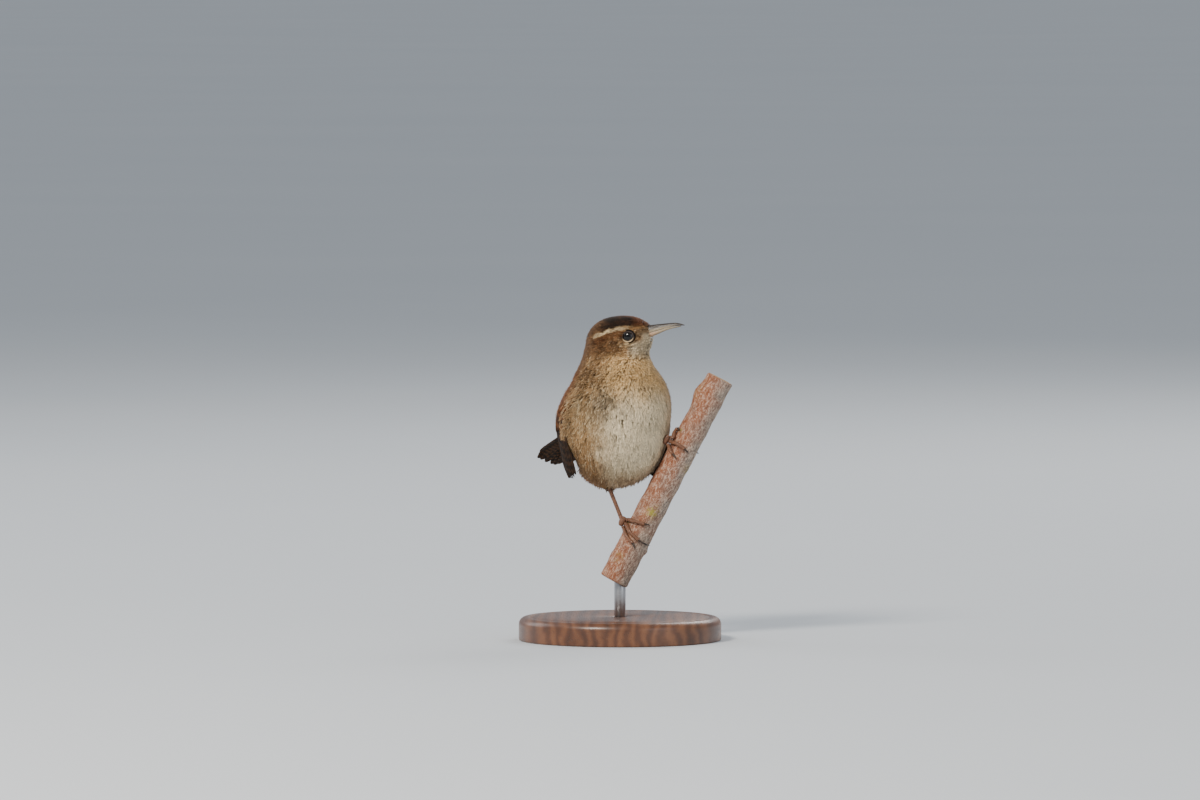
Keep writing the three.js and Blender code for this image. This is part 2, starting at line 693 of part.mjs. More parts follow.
const SIDES = { left: 1, right: -1 };
const whole = wholeBody();
const legRoots = Object.values(LEGS).flatMap((leg) => [thigh(leg, GAP), tarsus(leg, GAP)]);
const sockets = Object.values(SIDES).map((side) => ball(eyeCentre(side), EYE_RADIUS + GAP));
const billCut = halfSpace(head.at(BILL_START - GAP, 0, 0), head.forward);
const rumpCut = halfSpace(body.at(RUMP_CUT, 0, 0), body.forward.clone().negate());
const skull = joined([whole.intersect(above(NECK_TOP)), lids(1), lids(-1)]);

add(wren, "head", largest(skull.subtract(wasm.Manifold.union([...sockets, billCut]))), "plumage");
add(wren, "neck", largest(whole.intersect(below(NECK_TOP)).intersect(above(NECK_FOOT))), "plumage");
add(wren, "torso", largest(
  whole.intersect(below(NECK_FOOT)).subtract(wasm.Manifold.union([...legRoots, rumpCut]))), "plumage");
add(wren, "tail", tail(), "vane");
add(wren, "bill_upper", upperBill(), "horn");
add(wren, "bill_lower", lowerBill(), "paleHorn");
for (const [name, side] of Object.entries(SIDES)) {
  const leg = LEGS[name];
  const limbs = new THREE.Group();
  add(wren, "eye_" + name, ball(eyeCentre(side), EYE_RADIUS), "eye");
  add(wren, "wing_" + name, wing(side), "vane");
  add(limbs, "thigh_" + name, thigh(leg, 0), "plumage");
  add(limbs, "tarsus_" + name, largest(tarsus(leg, 0).subtract(thigh(leg, GAP))), "scale");
  for (const [digit, route] of Object.entries(leg.toes)) {
    add(limbs, `toe_${digit}_${name}`, largest(toe(route).subtract(tarsus(leg, GAP))), "scale");
  }
  for (const [digit, route] of Object.entries(leg.claws)) add(limbs, `claw_${digit}_${name}`, claw(route), "horn");
  wren.add(limbs);
}
add(wren, "perch", perch(), "bark");
add(wren, "stand_base", base(), "wood");
add(wren, "stand_rod", rod(ROD_RADIUS, ROD_FROM, ROD_TO), "steel");

export default wren;
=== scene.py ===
"""A life-size museum model of a marsh wren that grips a slanted twig on a turned wooden stand.

Shapes are worked out in millimetres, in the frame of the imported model, and put into meshes in metres.
"""

from __future__ import annotations

import logging
import math
from dataclasses import dataclass, field
from enum import Enum
from typing import Callable, Sequence

import bpy
import numpy as np
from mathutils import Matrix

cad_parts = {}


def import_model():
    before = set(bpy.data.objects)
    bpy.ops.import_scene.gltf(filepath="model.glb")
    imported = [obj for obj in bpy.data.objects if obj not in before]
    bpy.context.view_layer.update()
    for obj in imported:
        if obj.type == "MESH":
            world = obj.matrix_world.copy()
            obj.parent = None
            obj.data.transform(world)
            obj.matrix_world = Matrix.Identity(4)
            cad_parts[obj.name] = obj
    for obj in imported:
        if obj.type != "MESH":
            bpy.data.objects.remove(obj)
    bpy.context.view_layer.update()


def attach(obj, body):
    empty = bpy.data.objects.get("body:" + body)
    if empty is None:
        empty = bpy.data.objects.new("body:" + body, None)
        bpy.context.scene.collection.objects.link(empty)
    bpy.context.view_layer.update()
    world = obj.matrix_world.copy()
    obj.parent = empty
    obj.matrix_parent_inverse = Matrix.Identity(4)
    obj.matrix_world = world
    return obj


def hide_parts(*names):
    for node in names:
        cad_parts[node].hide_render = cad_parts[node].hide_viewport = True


LOG = logging.getLogger("wren")
MM = 0.001
SEED = 20
BODY = "root"
UP = np.array([0.0, 0.0, 1.0])
HASH = np.array([374761393, 668265263, 2147483647])
Array = np.ndarray
Level = Callable[[Array], Array]


# Small numbers and vectors


def smooth(value: Array | float, low: Array | float, high: Array | float) -> Array:
    """Smooth step from 0 at low to 1 at high; low may be the larger one."""
    share = np.clip((np.asarray(value, float) - low) / (high - low), 0.0, 1.0)
    return share * share * (3.0 - 2.0 * share)


def between(value: Array, start: Array | float, full: Array | float, fade: Array | float,
            end: Array | float) -> Array:
    """Smooth window: 0 before start and after end, 1 from full to fade."""
    return smooth(value, start, full) * smooth(value, end, fade)


def bell(*offsets: Array) -> Array:
    """1 where every offset is 0, falling off as their squares add up."""
    return np.exp(-sum(offset * offset for offset in offsets))


def unit(vectors: Array) -> Array:
    """Vectors divided by their own length."""
    return vectors / np.maximum(np.linalg.norm(vectors, axis=-1, keepdims=True), 1e-12)


def spun(first: Array, second: Array, turn: Array) -> Array:
    """Directions turned from the first towards the second by angles in radians."""
    return np.cos(turn)[..., None] * first + np.sin(turn)[..., None] * second


def circle(count: int) -> Array:
    """Evenly spaced angles round a full turn."""
    return np.linspace(0, 2 * np.pi, count, endpoint=False)


def mix(first: Array, second: Array, share: Array | float) -> Array:
    """Two colours blended: the first where share is 0, the second where it is 1."""
    return first + (second - first) * np.asarray(share, float)[..., None]


def tone(red: int, green: int, blue: int) -> Array:
    """A display colour of 0 to 255 as the linear colour that shaders take."""
    share = np.array([red, green, blue], float) / 255.0
    return np.where(share <= 0.04045, share / 12.92, ((share + 0.055) / 1.055) ** 2.4)


def value_noise(points: Array, size: float, seed: int = 0) -> Array:
    """Smooth noise from 0 to 1: hashed values of lattice corners, blended over cells of the given size."""
    place = points / size + 17.3 * seed
    cell = np.floor(place).astype(np.int64)
    within = smooth(place - cell, 0, 1)
    total = np.zeros(points.shape[:-1])
    for shift in np.ndindex(2, 2, 2):
        mixed = ((cell + np.array(shift)) * HASH).sum(axis=-1) + seed * 40503
        mixed = (mixed ^ (mixed >> 13)) * 1274126177
        weight = np.prod(np.where(np.array(shift) == 1, within, 1.0 - within), axis=-1)
        total = total + weight * (((mixed ^ (mixed >> 16)) & 65535) / 65535.0)
    return total


def run_length(points: Array) -> Array:
    """Distance along a line of points, from its start to each point."""
    return np.concatenate([[0], np.cumsum(np.linalg.norm(np.diff(points, axis=0), axis=1))])


@dataclass(frozen=True)
class Axes:
    """A place with forward, left and up directions, such as the head's or the body's."""

    origin: Array
    forward: Array
    left: Array
    up: Array

    @classmethod
    def facing(cls, origin: Sequence[float], heading: float, pitch: float) -> "Axes":
        """Axes turned to a heading from -Y towards +X, then tipped up by a pitch, both in degrees."""
        turn, tip = math.radians(heading), math.radians(pitch)
        level = np.array([math.sin(turn), -math.cos(turn), 0.0])
        left = np.array([math.cos(turn), math.sin(turn), 0.0])
        forward = level * math.cos(tip) + UP * math.sin(tip)
        return cls(np.array(origin, float), forward, left, np.cross(forward, left))

    def at(self, forward: Array | float, left: Array | float, up: Array | float) -> Array:
        """Points given by their distances forward, left and up."""
        parts = [np.asarray(v, float)[..., None] for v in (forward, left, up)]
        return self.origin + parts[0] * self.forward + parts[1] * self.left + parts[2] * self.up

    def local(self, points: Array) -> Array:
        """Distances forward, left and up of points."""
        offset = points - self.origin
        return np.stack([offset @ self.forward, offset @ self.left, offset @ self.up], axis=-1)

    def rolled(self, angle: float) -> "Axes":
        """The same axes turned about forward by an angle in degrees."""
        left = spun(self.left, self.up, np.radians(angle))
        return Axes(self.origin, self.forward, left, np.cross(self.forward, left))


TORSO = Axes.facing((-3.0, 4.0, 0.0), 28.0, 0.0)
HEAD = Axes.facing((2.6, 2.0, 116.7), 74.0, 6.0)
SIDES = {"left": 1, "right": -1}


def around_torso(points: Array) -> tuple[Array, Array, Array, Array]:
    """Distances forward, left and up of the torso's foot, and the turn from its front in degrees."""
    forward, left, z = TORSO.local(points).T
    return forward, left, z, np.degrees(np.arctan2(left, forward))


# Meshes


@dataclass
class Draft:
    """Points and faces of a piece before it becomes a mesh, in millimetres."""

    points: Array
    faces: list[Array]
    colours: Array | None = None
    normals: Array | None = None
    uvs: dict[str, Array] = field(default_factory=dict)
    masks: dict[str, Array] = field(default_factory=dict)

    @staticmethod
    def joined(drafts: Sequence["Draft"]) -> "Draft":
        """Several coloured drafts as one, with faces counted on."""
        starts = np.cumsum([0] + [len(d.points) for d in drafts])
        return Draft(
            points=np.concatenate([d.points for d in drafts]),
            faces=[f + start for d, start in zip(drafts, starts) for f in d.faces],
            colours=np.concatenate([d.colours for d in drafts]),
            uvs={key: np.concatenate([d.uvs[key] for d in drafts]) for key in drafts[0].uvs},
        )

    def outward(self) -> "Draft":
        """The same draft, with its faces turned round where they enclose less than nothing."""
        volume = 0.0
        for faces in self.faces:
            corners = self.points[faces] - self.points.mean(axis=0)
            for k in range(1, faces.shape[1] - 1):
                across = np.cross(corners[:, k], corners[:, k + 1])
                volume += float(np.einsum("ij,ij->", corners[:, 0], across))
        if volume < 0:
            self.faces = [f[:, ::-1] for f in self.faces]
        return self

    def piece(self, name: str, slot: str, finish: "Finish", *nodes: str) -> None:
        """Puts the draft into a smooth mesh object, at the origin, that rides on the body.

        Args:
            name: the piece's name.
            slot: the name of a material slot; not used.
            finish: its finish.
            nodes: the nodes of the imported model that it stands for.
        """
        mesh = bpy.data.meshes.new(name)
        mesh.vertices.add(len(self.points))
        mesh.vertices.foreach_set("co", (self.points * MM).astype(np.float32).ravel())
        corners = np.concatenate([f.ravel() for f in self.faces]).astype(np.int32)
        sizes = np.concatenate([np.full(len(f), f.shape[1]) for f in self.faces])
        mesh.loops.add(len(corners))
        mesh.loops.foreach_set("vertex_index", corners)
        mesh.polygons.add(len(sizes))
        mesh.polygons.foreach_set("loop_start", (np.cumsum(sizes) - sizes).astype(np.int32))
        mesh.update(calc_edges=True)
        mesh.shade_smooth()
        for key, uv in self.uvs.items():
            mesh.uv_layers.new(name=key).uv.foreach_set("vector", uv[corners].astype(np.float32).ravel())
        if self.colours is not None:
            shade = mesh.color_attributes.new("shade", "FLOAT_COLOR", "POINT")
            rgba = np.concatenate([self.colours, np.ones((len(self.points), 1))], axis=1)
            shade.data.foreach_set("color", rgba.astype(np.float32).ravel())
        for key, mask in self.masks.items():
            mesh.attributes.new(key, "FLOAT", "POINT").data.foreach_set("value", mask.astype(np.float32))
        if self.normals is not None:
            mesh.normals_split_custom_set_from_vertices(self.normals)
        mesh.materials.append(finish.material)
        made = bpy.data.objects.new(name, mesh)
        bpy.context.scene.collection.objects.link(made)
        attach(made, BODY)
        if nodes:
            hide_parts(*nodes)
        LOG.info("%s: %d faces", name, len(sizes))


def sheet_faces(rows: int, columns: int, closed: bool = False) -> Array:
    """Quads of a grid of points kept row by row; closed joins the last column to the first."""
    last = columns if closed else columns - 1
    row, column = np.meshgrid(np.arange(rows - 1), np.arange(last), indexing="ij")
    near, far = row * columns + column, row * columns + (column + 1) % columns
    return np.stack([near, far, far + columns, near + columns], axis=-1).reshape(-1, 4)


def loft(rings: Array, colours: Array | None = None, uvs: dict | None = None,
         masks: dict | None = None) -> Draft:
    """A closed skin over rings of points, with a middle point on each end.

    Args:
        rings: points as ring, place on the ring and coordinate.
        colours: one colour for each ring point.
        uvs: UV maps by name, in the same order.
        masks: numbers by name, in the same order.

    Returns:
        The draft, with every value also given to the two end points.
    """
    count, around = rings.shape[:2]
    points = np.concatenate([rings.reshape(-1, 3), rings[:1].mean(axis=1), rings[-1:].mean(axis=1)])
    place = np.arange(around)
    following = (place + 1) % around
    start, end, last_row = count * around, count * around + 1, (count - 1) * around
    first = np.stack([np.full(around, start), following, place], axis=-1)
    last = np.stack([np.full(around, end), last_row + place, last_row + following], axis=-1)

    def capped(values: Array) -> Array:
        """Ring values with the end points' values after them."""
        return np.concatenate([values.reshape(start, *values.shape[2:]), values[0, :1], values[-1, :1]])

    return Draft(
        points,
        [sheet_faces(count, around, closed=True), first, last],
        colours=None if colours is None else capped(colours),
        uvs={key: capped(values) for key, values in (uvs or {}).items()},
        masks={key: capped(values) for key, values in (masks or {}).items()},
    ).outward()


def plate(outer: Array, inner: Array, colours: Array, uv: Array) -> Draft:
    """A thin closed plate between two grids of points, with a rim round it."""
    rows, columns = outer.shape[:2]
    far, base = rows * columns, (rows - 1) * columns
    top = sheet_faces(rows, columns)
    column, row = np.arange(columns - 1), np.arange(rows - 1) * columns
    rims = [
        np.stack([far + column, far + column + 1, column + 1, column], axis=-1),
        np.stack([base + column, base + column + 1, far + base + column + 1, far + base + column], axis=-1),
        np.stack([row, row + columns, far + row + columns, far + row], axis=-1),
        np.stack([far + row, far + row + columns, row + columns, row], axis=-1) + columns - 1,
    ]
    return Draft(
        np.concatenate([outer.reshape(-1, 3), inner.reshape(-1, 3)]),
        [top, (top + far)[:, ::-1], *rims],
        colours=np.tile(colours.reshape(-1, 3), (2, 1)),
        uvs={"vane": np.tile(uv.reshape(-1, 2), (2, 1))},
    ).outward()


def tube(centres: Array, radii: Array, sides: int,
         flat: Callable[[Array, Array], Array] | None = None) -> Array:
    """Rings round a line of points: each ring lies across the line, at its radius.

    Args:
        centres: the points of the line.
        radii: one radius for each point.
        sides: points on each ring.
        flat: changes the radii, as point by side, given the share along and the turn.

    Returns:
        Points as ring, side and coordinate.
    """
    tangent = unit(np.gradient(centres, axis=0))
    across = np.empty_like(tangent)
    across[0] = unit(np.cross(tangent[0], [0.31, 0.47, 0.83]))
    for i in range(1, len(tangent)):
        across[i] = unit(across[i - 1] - tangent[i] * (across[i - 1] @ tangent[i]))
    turn = circle(sides)
    distance = np.repeat(radii[:, None], sides, axis=1)
    if flat is not None:
        distance = distance * flat(np.linspace(0, 1, len(radii))[:, None], turn[None, :])
    rim = spun(across[:, None], np.cross(tangent, across)[:, None], turn[None, :])
    return centres[:, None] + distance[..., None] * rim


def curve(points: Sequence[Array], count: int) -> Array:
    """A smooth line through points: each stretch is a Catmull-Rom cubic of its four nearest points."""
    knots = np.array(points, float)
    padded = np.concatenate([[2 * knots[0] - knots[1]], knots, [2 * knots[-1] - knots[-2]]])
    place = np.linspace(0, len(knots) - 1, count)
    cell = np.minimum(place.astype(int), len(knots) - 2)
    t = (place - cell)[:, None]
    a, b, c, d = (padded[cell + k] for k in range(4))
    return 0.5 * (2 * b + (c - a) * t + (2 * a - 5 * b + 4 * c - d) * t**2 + (3 * b - a - 3 * c + d) * t**3)


# Shaders


@dataclass(frozen=True)
class Value:
    """A number or colour socket whose arithmetic adds the nodes that work it out."""

    shader: "Shader"
    socket: bpy.types.NodeSocket

    def _math(self, operation: str, first: "Value | float", second: "Value | float") -> "Value":
        """One Math node on two values."""
        return self.shader.node("ShaderNodeMath", {"operation": operation}, {0: first, 1: second})

    def __add__(self, other: "Value | float") -> "Value":
        """Sum, in either order."""
        return self._math("ADD", self, other)

    def __mul__(self, other: "Value | float") -> "Value":
        """Product, in either order."""
        return self._math("MULTIPLY", self, other)

    def __sub__(self, other: "Value | float") -> "Value":
        """Difference."""
        return self._math("SUBTRACT", self, other)

    def __rsub__(self, other: float) -> "Value":
        """Difference from a number."""
        return self._math("SUBTRACT", other, self)

    __radd__ = __add__
    __rmul__ = __mul__

    def steps(self, low: float, high: float) -> "Value":
        """Smooth step of the value from low to high."""
        inputs = {"Value": self, "From Min": low, "From Max": high}
        return self.shader.node("ShaderNodeMapRange", {"interpolation_type": "SMOOTHSTEP"}, inputs)


class Shader:
    """A material and the one method that adds its nodes."""

    def __init__(self, name: str, **fixed: float) -> None:
        """Starts a principled material with its fixed values set on the sockets."""
        self.material = bpy.data.materials.new(name)
        self.material.use_nodes = True
        self.tree = self.material.node_tree
        self.surface = self.tree.nodes["Principled BSDF"]
        for key, value in fixed.items():
            self.surface.inputs[key.replace("_", " ")].default_value = value

    def node(self, kind: str, settings: dict | None = None, inputs: dict | None = None,
             output: int | str = 0) -> Value:
        """Adds a node.

        Args:
            kind: the node's type.
            settings: its properties, and under "stops" the places and colours of a ramp.
            inputs: values or links for its sockets, by name or number.
            output: the socket to give back.

        Returns:
            The chosen output.
        """
        made = self.tree.nodes.new(kind)
        settings = dict(settings or {})
        stops = settings.pop("stops", ())
        for key, value in settings.items():
            setattr(made, key, value)
        for _ in stops[2:]:
            made.color_ramp.elements.new(0.5)
        for i, (place, colour) in enumerate(stops):
            element = made.color_ramp.elements[i]
            element.position, element.color = place, (*colour, 1.0)
        for key, value in (inputs or {}).items():
            self.feed(made.inputs[key], value)
        return Value(self, made.outputs[output])

    def feed(self, socket: bpy.types.NodeSocket, value: object) -> None:
        """Links a value to a socket, or sets the socket to a number, vector or colour."""
        if isinstance(value, Value):
            self.tree.links.new(value.socket, socket)
        elif isinstance(value, (tuple, list, np.ndarray)):
            numbers = [float(v) for v in value]
            socket.default_value = numbers + [1.0] * (len(socket.default_value) - len(numbers))
        else:
            socket.default_value = value

    def blended(self, share: Value | float, first: object, second: object, how: str = "MIX") -> Value:
        """Two colours mixed by a share."""
        settings = {"data_type": "RGBA", "blend_type": how}
        return self.node("ShaderNodeMix", settings, {0: share, 6: first, 7: second}, output=2)

    def attribute(self, name: str, output: str = "Color") -> Value:
        """An attribute of the mesh."""
        return self.node("ShaderNodeAttribute", {"attribute_name": name}, output=output)

    def place(self, source: str = "Object", scale: tuple = (1, 1, 1), turn: tuple = (0, 0, 0)) -> Value:
        """Coordinates, scaled and turned; any source but Object is the name of a UV map."""
        if source == "Object":
            where = self.node("ShaderNodeTexCoord", output="Object")
        else:
            where = self.node("ShaderNodeUVMap", {"uv_map": source})
        return self.node("ShaderNodeMapping", {}, {"Vector": where, "Scale": scale, "Rotation": turn})

    def noise(self, where: Value, size: float, detail: float = 3.0, rough: float = 0.5) -> Value:
        """Noise of a size, in the units of its coordinates."""
        inputs = {"Vector": where, "Scale": 1 / size, "Detail": detail, "Roughness": rough}
        return self.node("ShaderNodeTexNoise", {}, inputs)

    def cells(self, where: Value, scale: float, feature: str = "F1") -> Value:
        """Distance in a pattern of cells: to their middles, or to their edges."""
        inputs = {"Vector": where, "Scale": scale}
        return self.node("ShaderNodeTexVoronoi", {"feature": feature}, inputs, output="Distance")

    def finish(self, colour: Value, height: Value | None = None, depth: float = 0.0,
               rough: Value | None = None) -> bpy.types.Material:
        """Joins the colour, the bump and the roughness to the surface, and gives back the material."""
        self.feed(self.surface.inputs["Base Color"], colour)
        if height is not None:
            bump = self.node("ShaderNodeBump", {}, {"Height": height, "Distance": depth, "Strength": 1.0})
            self.feed(self.surface.inputs["Normal"], bump)
        if rough is not None:
            self.feed(self.surface.inputs["Roughness"], rough)
        return self.material


# Finishes


@dataclass(frozen=True)
class Down:
    """Soft barbs: the marked colour with fine light and dark streaks."""

    name: str = "body plumage"
    streak: float = 0.0006
    light: tuple = (226, 208, 176)

    def make(self) -> bpy.types.Material:
        """Lays the streaks softly over the marked colour."""
        shader = Shader(self.name, Roughness=0.9, Sheen_Weight=0.12, Sheen_Roughness=0.5,
                        Specular_IOR_Level=0.12)
        share = shader.noise(shader.place(), self.streak, detail=2.0).steps(0.35, 0.7) * 0.35
        marked = shader.attribute("shade")
        return shader.finish(shader.blended(share, marked, tone(*self.light), "SOFT_LIGHT"))


@dataclass(frozen=True)
class Vane:
    """Zipped barbs: slanted fine ridges on each side of the shaft."""

    name: str = "flight feathers"
    ridges: float = 9.0
    wear: float = 0.0015
    worn: tuple = (120, 84, 52)

    def make(self) -> bpy.types.Material:
        """Bands as bump, and a faint wear over the marked colour."""
        shader = Shader(self.name, Roughness=0.68, Specular_IOR_Level=0.1)
        inputs = {"Vector": shader.place("vane"), "Scale": self.ridges, "Distortion": 1.5, "Detail": 2.0}
        settings = {"wave_type": "BANDS", "bands_direction": "DIAGONAL"}
        barbs = shader.node("ShaderNodeTexWave", settings, inputs, output="Fac")
        share = shader.noise(shader.place(), self.wear).steps(0.3, 0.75) * 0.08
        colour = shader.blended(share, shader.attribute("shade"), tone(*self.worn), "SCREEN")
        return shader.finish(colour, barbs, 0.00004)


@dataclass(frozen=True)
class Horn:
    """Smooth horn with faint growth lines."""

    name: str = "bill and claw horn"
    growth: float = 0.0009
    dry: tuple = (120, 100, 78)

    def make(self) -> bpy.types.Material:
        """The lines tint the colour and change the gloss."""
        shader = Shader(self.name, Roughness=0.42, Coat_Weight=0.08, Coat_Roughness=0.3)
        lines = shader.noise(shader.place(scale=(1, 1, 2.5)), self.growth, detail=4.0)
        colour = shader.blended(lines.steps(0.3, 0.8) * 0.25, shader.attribute("shade"), tone(*self.dry))
        return shader.finish(colour, lines, 0.00003, 0.36 + lines * 0.18)


@dataclass(frozen=True)
class WetEye:
    """A wet black-brown eye with a barely paler iris."""

    name: str = "wet dark eye"

    def make(self) -> bpy.types.Material:
        """A clear coat over the marked colour."""
        shader = Shader(self.name, Roughness=0.08, Specular_IOR_Level=0.25, Coat_Weight=0.35,
                        Coat_Roughness=0.03)
        return shader.finish(shader.attribute("shade"))


@dataclass(frozen=True)
class Lid:
    """Bare skin of the lids, beaded."""

    name: str = "eyelid rim"
    beads: float = 4500.0

    def make(self) -> bpy.types.Material:
        """Cells as bump."""
        shader = Shader(self.name, Roughness=0.7)
        return shader.finish(shader.attribute("shade"), shader.cells(shader.place(), self.beads), 0.00005)


@dataclass(frozen=True)
class Scale:
    """Horny scales: brown plates with darker seams."""

    name: str = "leg scales"
    plates: float = 2600.0
    seam: tuple = (52, 30, 20)

    def make(self) -> bpy.types.Material:
        """Cell edges as seams, in colour and bump."""
        shader = Shader(self.name, Roughness=0.5, Coat_Weight=0.1)
        inside = shader.cells(shader.place(), self.plates, "DISTANCE_TO_EDGE").steps(0.0, 0.12)
        colour = shader.blended(inside, tone(*self.seam), shader.attribute("shade"))
        return shader.finish(colour, inside, 0.00004)


@dataclass(frozen=True)
class Bark:
    """Thin reddish bark with grey-white flakes drawn out along the twig, with painted shade: greyer on its
    lower right side, turned from the key light.
    """

    name: str = "twig bark"
    red: tuple = ((132, 80, 56), (178, 118, 86))
    # Painted shade: the greys of the twig's shaded side.
    grey: tuple = ((92, 82, 74), (146, 134, 122))
    lichen: tuple = ((120, 118, 34), (196, 186, 84))
    timber: tuple = ((176, 136, 94), (206, 172, 128))
    flake: tuple = (216, 192, 172)
    pore: tuple = (58, 38, 30)
    years: float = 46.0

    def make(self) -> bpy.types.Material:
        """Flakes, pores, lichen and the cut ends with their year rings, one over the other."""
        shader = Shader(self.name, Roughness=0.85, Specular_IOR_Level=0.2)
        along = shader.place("bark", scale=(1.0, 0.33, 1.0))
        broad = shader.noise(along, 0.9, detail=5.0, rough=0.62)
        flake = shader.noise(along, 0.28, detail=6.0, rough=0.7)
        pores = shader.cells(shader.place("bark", scale=(1.0, 0.6, 1.0)), 2.2)
        weather = shader.attribute("weather", "Fac")
        cut = shader.attribute("cut", "Fac")

        def two(share: Value, pair: tuple) -> Value:
            """A blend of two colours of a pair."""
            return shader.blended(share, tone(*pair[0]), tone(*pair[1]))

        # Painted shade: the red bark turns to the shaded greys where the painted shade mask is high.
        colour = shader.blended(weather, two(broad.steps(0.35, 0.7), self.red), two(flake, self.grey))
        pale = (flake + broad * 0.6 + weather * 0.05).steps(0.77, 0.96)
        colour = shader.blended(pale * 0.8, colour, tone(*self.flake))
        colour = shader.blended(pores.steps(0.16, 0.04) * 0.8, colour, tone(*self.pore))
        colour = shader.blended(shader.attribute("lichen", "Fac"), colour, two(flake, self.lichen))
        rings = shader.node("ShaderNodeMath", {"operation": "SINE"}, {0: cut * self.years + broad * 1.5})
        colour = shader.blended(cut.steps(0.02, 0.06), colour, two(rings * 0.5 + 0.5, self.timber))
        height = flake * 0.6 + broad * 0.5 + pale * 0.25 - pores.steps(0.2, 0.0) * 0.4
        return shader.finish(colour, height, 0.00022, 0.92 - pale * 0.1)


@dataclass(frozen=True)
class Wood:
    """Dark turned hardwood under a satin varnish: grain rings cut through by the disc."""

    name: str = "turned base"
    turn: tuple = (0.12, 0.05, 0.2)
    stops: tuple = ((0.15, (58, 33, 20)), (0.5, (94, 56, 33)), (0.85, (126, 80, 48)))
    fleck: tuple = (38, 22, 14)

    def make(self) -> bpy.types.Material:
        """Warped bands for the grain, and fine drawn-out pores."""
        shader = Shader(self.name, Roughness=0.35, Coat_Weight=0.35, Coat_Roughness=0.25)
        where = shader.place(scale=(1.0, 0.12, 1.0), turn=self.turn)
        inputs = {"Vector": where, "Scale": 70.0, "Distortion": 7.0, "Detail": 3.0, "Detail Scale": 1.5}
        settings = {"wave_type": "BANDS", "bands_direction": "X"}
        rings = shader.node("ShaderNodeTexWave", settings, inputs, output="Fac")
        grain = rings * 0.35 + shader.noise(where, 0.012, detail=4.0) * 0.75
        pores = shader.noise(shader.place(scale=(1.0, 0.05, 1.0), turn=self.turn), 0.0005, detail=3.0)
        stops = [(place, tone(*colour)) for place, colour in self.stops]
        colour = shader.node("ShaderNodeValToRGB", {"stops": stops}, {"Fac": grain})
        flecked = shader.blended(pores.steps(0.62, 0.72) * 0.6, colour, tone(*self.fleck))
        return shader.finish(flecked, pores.steps(0.7, 0.6), 0.00004, 0.3 + pores * 0.2)


@dataclass(frozen=True)
class Steel:
    """Brushed steel with fine rings round the rod."""

    name: str = "brushed rod"
    dark: tuple = (150, 150, 152)
    light: tuple = (196, 196, 198)

    def make(self) -> bpy.types.Material:
        """Flat noise for the brushed rings, in colour, bump and gloss."""
        shader = Shader(self.name, Metallic=1.0, Roughness=0.3)
        rings = shader.noise(shader.place(scale=(0.1, 0.1, 1.0)), 0.00015, detail=2.0)
        colour = shader.blended(rings, tone(*self.dark), tone(*self.light))
        return shader.finish(colour, rings, 0.00001, 0.26 + rings * 0.16)


@dataclass(frozen=True)
class Floor:
    """Plain pale paper."""

    name: str = "studio floor"
    grain: float = 0.4

    def make(self) -> bpy.types.Material:
        """Two near tones under broad noise."""
        shader = Shader(self.name, Roughness=0.9, Specular_IOR_Level=0.1)
        grain = shader.noise(shader.place(), self.grain, detail=2.0)
        return shader.finish(shader.blended(grain, tone(206, 210, 214), tone(212, 215, 218)))


class Finish(Enum):
    """The finishes of the model."""

    DOWN = Down()
    VANE = Vane()
    HORN = Horn()
    EYE = WetEye()
    LID = Lid()
    SCALE = Scale()
    BARK = Bark()
    WOOD = Wood()
    STEEL = Steel()
    FLOOR = Floor()

    @property
    def material(self) -> bpy.types.Material:
        """The finish's material, made at its first use."""
        return bpy.data.materials.get(self.value.name) or self.value.make()


# The bird's body


def ellipsoid(where: Array, centre: Sequence[float], radii: Sequence[float]) -> Array:
    """Near distance to an ellipsoid: k (k - 1) over the slope of k, where k is the scaled radius."""
    offset, size = where - np.array(centre, float), np.array(radii, float)
    k = np.linalg.norm(offset / size, axis=-1)
    return k * (k - 1.0) / np.maximum(np.linalg.norm(offset / size**2, axis=-1), 1e-9)


def cone(points: Array, start: Array, end: Array, first: float, last: float) -> Array:
    """Distance to a round cone: distance to its axis less the radius at the nearest place on it."""
    axis = end - start
    along = np.clip(((points - start) @ axis) / (axis @ axis), 0.0, 1.0)
    distance = np.linalg.norm(points - start - along[..., None] * axis, axis=-1)
    return distance - (first + (last - first) * along)


def blend(a: Array, b: Array, width: float) -> Array:
    """Smooth union: the smaller distance, less a quarter of the squared closeness."""
    close = np.maximum(width - np.abs(a - b), 0.0) / width
    return np.minimum(a, b) - close * close * width / 4.0


@dataclass(frozen=True)
class Thigh:
    """A feathered thigh: a cone along a bent line that ends at the bare shank."""

    line: tuple[tuple[float, float, float], ...]
    root: float = 4.2
    tip: float = 1.25

    def distance(self, points: Array) -> Array:
        """Distance to the cone: the nearest of its two straight stretches, blended."""
        knots = np.array(self.line)
        middle = (self.root + self.tip) / 2
        upper = cone(points, knots[0], knots[1], self.root, middle)
        return blend(upper, cone(points, knots[1], knots[2], middle, self.tip), 1.0)

    @staticmethod
    def nearest(points: Array) -> Array:
        """Distance to the nearer thigh."""
        return np.minimum(*[thigh.distance(points) for thigh in THIGHS.values()])


THIGHS = {
    "right": Thigh(((-7.4, 3.4, 67.0), (-5.6, 2.2, 62.0), (-3.9, 0.9, 58.0))),
    "left": Thigh(((8.5, 8.6, 70.0), (12.6, 9.4, 70.8), (16.0, 9.0, 72.0))),
}


